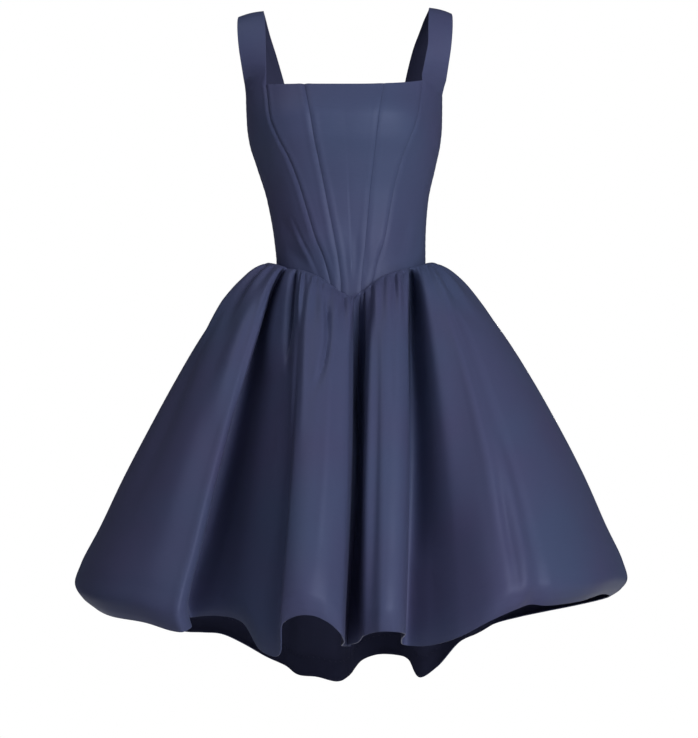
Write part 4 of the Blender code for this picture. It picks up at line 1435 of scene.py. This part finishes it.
def thread_material():
    """Matt thread: two plies that wind along it, in the colour of the cloth."""
    material, tree, shader = start_material("thread")
    links = tree.links
    shader.inputs["Base Color"].default_value = (*bpy.context.scene.dress_colours.thread, 1.0)
    shader.inputs["Roughness"].default_value = 0.7
    place = tree.nodes.new("ShaderNodeTexCoord")
    plies = add_node(tree, "ShaderNodeTexWave", "plies", Scale=900.0, Distortion=1.5)
    plies.bands_direction = "DIAGONAL"
    links.new(place.outputs["Object"], plies.inputs["Vector"])
    relief = add_node(tree, "ShaderNodeBump", "ply", Strength=0.4, Distance=0.0001)
    links.new(plies.outputs["Fac"], relief.inputs["Height"])
    links.new(relief.outputs["Normal"], shader.inputs["Normal"])
    return material


def enamel_material():
    """Enamelled metal: a smooth coat with a faint unevenness and slightly worn gloss."""
    material, tree, shader = start_material("zip_enamel")
    links = tree.links
    shader.inputs["Base Color"].default_value = (*bpy.context.scene.dress_colours.metal, 1.0)
    shader.inputs["Metallic"].default_value = 0.35
    shader.inputs["Coat Weight"].default_value = 0.3
    shader.inputs["Coat Roughness"].default_value = 0.15
    place = tree.nodes.new("ShaderNodeTexCoord")
    wear = add_node(
        tree, "ShaderNodeTexNoise", "wear", Scale=600.0, Detail=4.0, Roughness=0.6)
    links.new(place.outputs["Object"], wear.inputs["Vector"])
    rough = add_node(tree, "ShaderNodeMapRange", "roughness", To_Min=0.26, To_Max=0.46)
    links.new(wear.outputs["Fac"], rough.inputs["Value"])
    links.new(rough.outputs["Result"], shader.inputs["Roughness"])
    relief = add_node(tree, "ShaderNodeBump", "uneven", Strength=0.08, Distance=0.0001)
    links.new(wear.outputs["Fac"], relief.inputs["Height"])
    links.new(relief.outputs["Normal"], shader.inputs["Normal"])
    return material


def floor_material():
    """An even pale floor, which glows only where the camera sees it."""
    material, tree, shader = start_material("pale_floor")
    shader.inputs["Base Color"].default_value = (FLOOR_GREY, FLOOR_GREY, FLOOR_GREY, 1.0)
    shader.inputs["Roughness"].default_value = FLOOR_ROUGHNESS
    shader.inputs["Emission Color"].default_value = (1.0, 1.0, 1.0, 1.0)
    path = tree.nodes.new("ShaderNodeLightPath")
    glow = add_node(tree, "ShaderNodeMapRange", "even glow", To_Max=FLOOR_GLOW)
    tree.links.new(path.outputs["Is Camera Ray"], glow.inputs["Value"])
    tree.links.new(glow.outputs["Result"], shader.inputs["Emission Strength"])
    return material


# ------------------------------------------------------------------ operators

class DRESS_OT_make_bodice(bpy.types.Operator):
    """Make the nine pieces of the bodice, the side pieces with their halves of the straps"""

    bl_idname = "dress.make_bodice"
    bl_label = "Make bodice"

    def execute(self, context):
        sizes = context.scene.dress_sizes
        for panel in bodice_panels(sizes):
            add_cloth(panel, sizes)
        return {"FINISHED"}


class DRESS_OT_make_skirt(bpy.types.Operator):
    """Make the gathered front and the two gathered backs of the skirt"""

    bl_idname = "dress.make_skirt"
    bl_label = "Make skirt"

    def execute(self, context):
        sizes = context.scene.dress_sizes
        for panel in skirt_panels(sizes):
            add_cloth(panel, sizes)
        return {"FINISHED"}


class DRESS_OT_make_zip(bpy.types.Operator):
    """Make the concealed zip: two tapes with their teeth, the slider and its pull tab"""

    bl_idname = "dress.make_zip"
    bl_label = "Make zip"

    def make_tapes(self, sizes, enamel):
        teeth = bmesh.new()
        for strip, (side, suffix) in zip(back_zip_strips(sizes), SIDES):
            inward = strip[..., 3:]
            grid = strip[..., :3] + inward * TAPE_THICKNESS
            thickness = np.full(grid.shape[:2], -TAPE_THICKNESS * TAPE_FILL)
            faces = (zip_tape(), zip_tape())
            tape = cloth_wall("zip_tape_" + suffix, grid, -inward, thickness, faces)
            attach(tape, ROOT)
            declare_cloth(grid, ["back_" + suffix])
            edge = np.hstack([grid[:, 0] + inward[:, 0] * TAPE_THICKNESS / 2, inward[:, 0]])
            add_beads(teeth, spaced(edge, TOOTH_PITCH), TOOTH_SIZE,
                      shift=side * TOOTH_OFFSET, lift=TOOTH_SIZE[1] / 2)
        coil = crisp_piece("zip_teeth", teeth, enamel)
        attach(coil, ROOT)

    def make_slider(self, middle, bridge_y, enamel):
        bm = bmesh.new()
        add_block(bm, middle, (SLIDER_WIDTH, SLIDER_PLATE, SLIDER_LENGTH), SLIDER_CORNER, AXIS_Y)
        bar = Vector((middle.x, bridge_y, middle.z))
        add_block(bm, bar, (BRIDGE_WIDTH, BRIDGE_BAR, BRIDGE_SPAN), BRIDGE_CORNER, AXIS_X)
        foot = (BRIDGE_WIDTH, bridge_y - middle.y, BRIDGE_BAR)
        for end in (1, -1):
            foot_z = middle.z + end * (BRIDGE_SPAN - BRIDGE_BAR) / 2
            place = Vector((middle.x, (middle.y + bridge_y) / 2, foot_z))
            add_block(bm, place, foot, METAL_ROUND, AXIS_Y)
        slider = crisp_piece("zip_slider_metal", bm, enamel)
        finish_piece(slider, "zip_slider")

    def make_pull(self, pivot, enamel):
        bm = bmesh.new()
        edges = add_loop(bm, pull_outline, pivot, -PULL_THICKNESS / 2)
        edges |= add_loop(bm, slot_outline, pivot, -PULL_THICKNESS / 2)
        bmesh.ops.bridge_loops(bm, edges=list(edges))
        raised = bmesh.ops.extrude_face_region(bm, geom=bm.faces[:], use_keep_orig=True)
        moved = [item for item in raised["geom"] if isinstance(item, bmesh.types.BMVert)]
        bmesh.ops.translate(bm, vec=(0.0, PULL_THICKNESS, 0.0), verts=moved)
        bmesh.ops.recalc_face_normals(bm, faces=bm.faces[:])
        rims = [edge for edge in bm.edges
                if abs(edge.calc_face_angle(0.0) - math.radians(90)) < math.radians(SQUARE_SLACK)]
        round_edges(bm, rims, METAL_ROUND, PULL_RIM_STEPS)
        tab = crisp_piece("zip_pull_metal", bm, enamel)
        finish_piece(tab, "zip_pull", body=PULL_BODY)

    def execute(self, context):
        enamel = enamel_material()
        self.make_tapes(context.scene.dress_sizes, enamel)
        neck = bodice_points(CENTRE_BACK, NECK_BACK)
        seat = bodice_points(CENTRE_BACK, NECK_BACK - SLIDER_BELOW_NECK - SLIDER_LENGTH / 2)
        plate_y = max(neck[1], seat[1]) + SLIDER_GAP + SLIDER_PLATE / 2
        plate_face = plate_y + SLIDER_PLATE / 2
        bridge_y = plate_face + PULL_BAR + 2 * RUNNING_GAP + BRIDGE_BAR / 2
        self.make_slider(Vector((seat[0], plate_y, seat[2])), bridge_y, enamel)
        pivot_y = plate_face + RUNNING_GAP + PULL_BAR / 2
        self.make_pull(Vector((seat[0], pivot_y, seat[2])), enamel)
        return {"FINISHED"}


class DRESS_OT_make_sewing(bpy.types.Operator):
    """Make the thread on the wrong side: overlocked turnings, the neck row, the hem's stitches"""

    bl_idname = "dress.make_sewing"
    bl_label = "Make sewing"

    def make_threads(self, name, panels, sizes, thread):
        bm = bmesh.new()
        for panel in panels:
            below = slice(panel.strap_rows, None)
            face = wrong_side(panel.grid[below], panel.normals[below], sizes.cloth)
            for from_start in (True, False):
                add_stitches(bm, line_across(face, TURNING_WIDTH, from_start), OVERLOCK)
            turned = face.swapaxes(0, 1)
            if panel.neck:
                add_stitches(bm, line_across(turned, NECK_ROW_DROP), NECK_ROW)
            if panel.hem:
                add_stitches(bm, line_across(turned, HEM_TURN, from_start=False), HEM_ROW)
        threads = crisp_piece(name, bm, thread)
        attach(threads, ROOT)

    def execute(self, context):
        sizes = context.scene.dress_sizes
        thread = thread_material()
        self.make_threads("bodice_thread", bodice_panels(sizes), sizes, thread)
        self.make_threads("skirt_thread", skirt_panels(sizes), sizes, thread)
        return {"FINISHED"}


class DRESS_OT_set_stage(bpy.types.Operator):
    """Set the pale floor, the soft lights and the camera"""

    bl_idname = "dress.set_stage"
    bl_label = "Set stage"

    def place_camera(self, scene, stage, target):
        camera = bpy.data.objects.new("camera", bpy.data.cameras.new("camera"))
        scene.collection.objects.link(camera)
        view = VIEW_HEIGHT / 2 / stage.distance
        camera.data.lens = camera.data.sensor_width / 2 / view
        back = Vector((0.0, -math.cos(stage.climb), -math.sin(stage.climb)))
        camera.location = target + back * stage.distance
        camera.rotation_euler = (math.radians(90) + stage.climb, 0.0, 0.0)
        scene.camera = camera

    def lay_floor(self):
        bm = bmesh.new()
        bmesh.ops.create_circle(bm, cap_ends=True, radius=FLOOR_RADIUS, segments=FLOOR_SIDES)
        bmesh.ops.translate(bm, vec=(0.0, 0.0, FLOOR_Z), verts=bm.verts)
        floor = add_object("floor", bm, floor_material())

    def hang_lights(self, scene, stage, target):
        powers = {"key": stage.key, "fill": stage.fill, "top": TOP_POWER, "back": BACK_POWER}
        for name, place, size in STAGE_LIGHTS:
            data = bpy.data.lights.new(name, "AREA")
            data.energy = powers[name]
            data.size = size
            light = bpy.data.objects.new(name, data)
            scene.collection.objects.link(light)
            light.location = place
            light.rotation_euler = (target - light.location).to_track_quat("-Z", "Y").to_euler()

    def light_room(self, scene):
        world = bpy.data.worlds.new("studio")
        scene.world = world
        world.use_nodes = True
        tree = world.node_tree
        seen = tree.nodes["Background"]
        seen.inputs["Color"].default_value = (1.0, 1.0, 1.0, 1.0)
        seen.inputs["Strength"].default_value = 1.0
        room = add_node(tree, "ShaderNodeBackground", "room", Color=ROOM_TINT, Strength=ROOM_LIGHT)
        path = tree.nodes.new("ShaderNodeLightPath")
        mix = tree.nodes.new("ShaderNodeMixShader")
        tree.links.new(path.outputs["Is Camera Ray"], mix.inputs["Fac"])
        tree.links.new(room.outputs["Background"], mix.inputs[1])
        tree.links.new(seen.outputs["Background"], mix.inputs[2])
        tree.links.new(mix.outputs["Shader"], tree.nodes["World Output"].inputs["Surface"])

    def execute(self, context):
        scene = context.scene
        stage = scene.dress_stage
        target = Vector((VIEW_X, 0.0, VIEW_Z))
        self.place_camera(scene, stage, target)
        self.lay_floor()
        self.hang_lights(scene, stage, target)
        self.light_room(scene)
        scene.view_settings.view_transform = "Standard"
        return {"FINISHED"}


class DRESS_PT_sidebar(bpy.types.Panel):
    """The dress's settings and the buttons that make its pieces"""

    bl_idname = "DRESS_PT_sidebar"
    bl_label = "Satin dress"
    bl_space_type = "VIEW_3D"
    bl_region_type = "UI"
    bl_category = "Dress"

    def draw(self, context):
        scene = context.scene
        for group in (scene.dress_sizes, scene.dress_colours, scene.dress_stage):
            for name in group.__annotations__:
                self.layout.prop(group, name)
        for operator in OPERATORS:
            self.layout.operator(operator.bl_idname)


OPERATORS = (
    DRESS_OT_make_bodice,
    DRESS_OT_make_skirt,
    DRESS_OT_make_zip,
    DRESS_OT_make_sewing,
    DRESS_OT_set_stage,
)
CLASSES = (DressSizes, DressColours, StageSettings, *OPERATORS, DRESS_PT_sidebar)


def register():
    for item in CLASSES:
        bpy.utils.register_class(item)
    bpy.types.Scene.dress_sizes = bpy.props.PointerProperty(type=DressSizes)
    bpy.types.Scene.dress_colours = bpy.props.PointerProperty(type=DressColours)
    bpy.types.Scene.dress_stage = bpy.props.PointerProperty(type=StageSettings)


def unregister():
    del bpy.types.Scene.dress_stage
    del bpy.types.Scene.dress_colours
    del bpy.types.Scene.dress_sizes
    for item in reversed(CLASSES):
        bpy.utils.unregister_class(item)


def main():
    register()
    bpy.ops.dress.make_bodice()
    bpy.ops.dress.make_skirt()
    bpy.ops.dress.make_zip()
    bpy.ops.dress.make_sewing()
    bpy.ops.dress.set_stage()


if __name__ == "__main__":
    main()
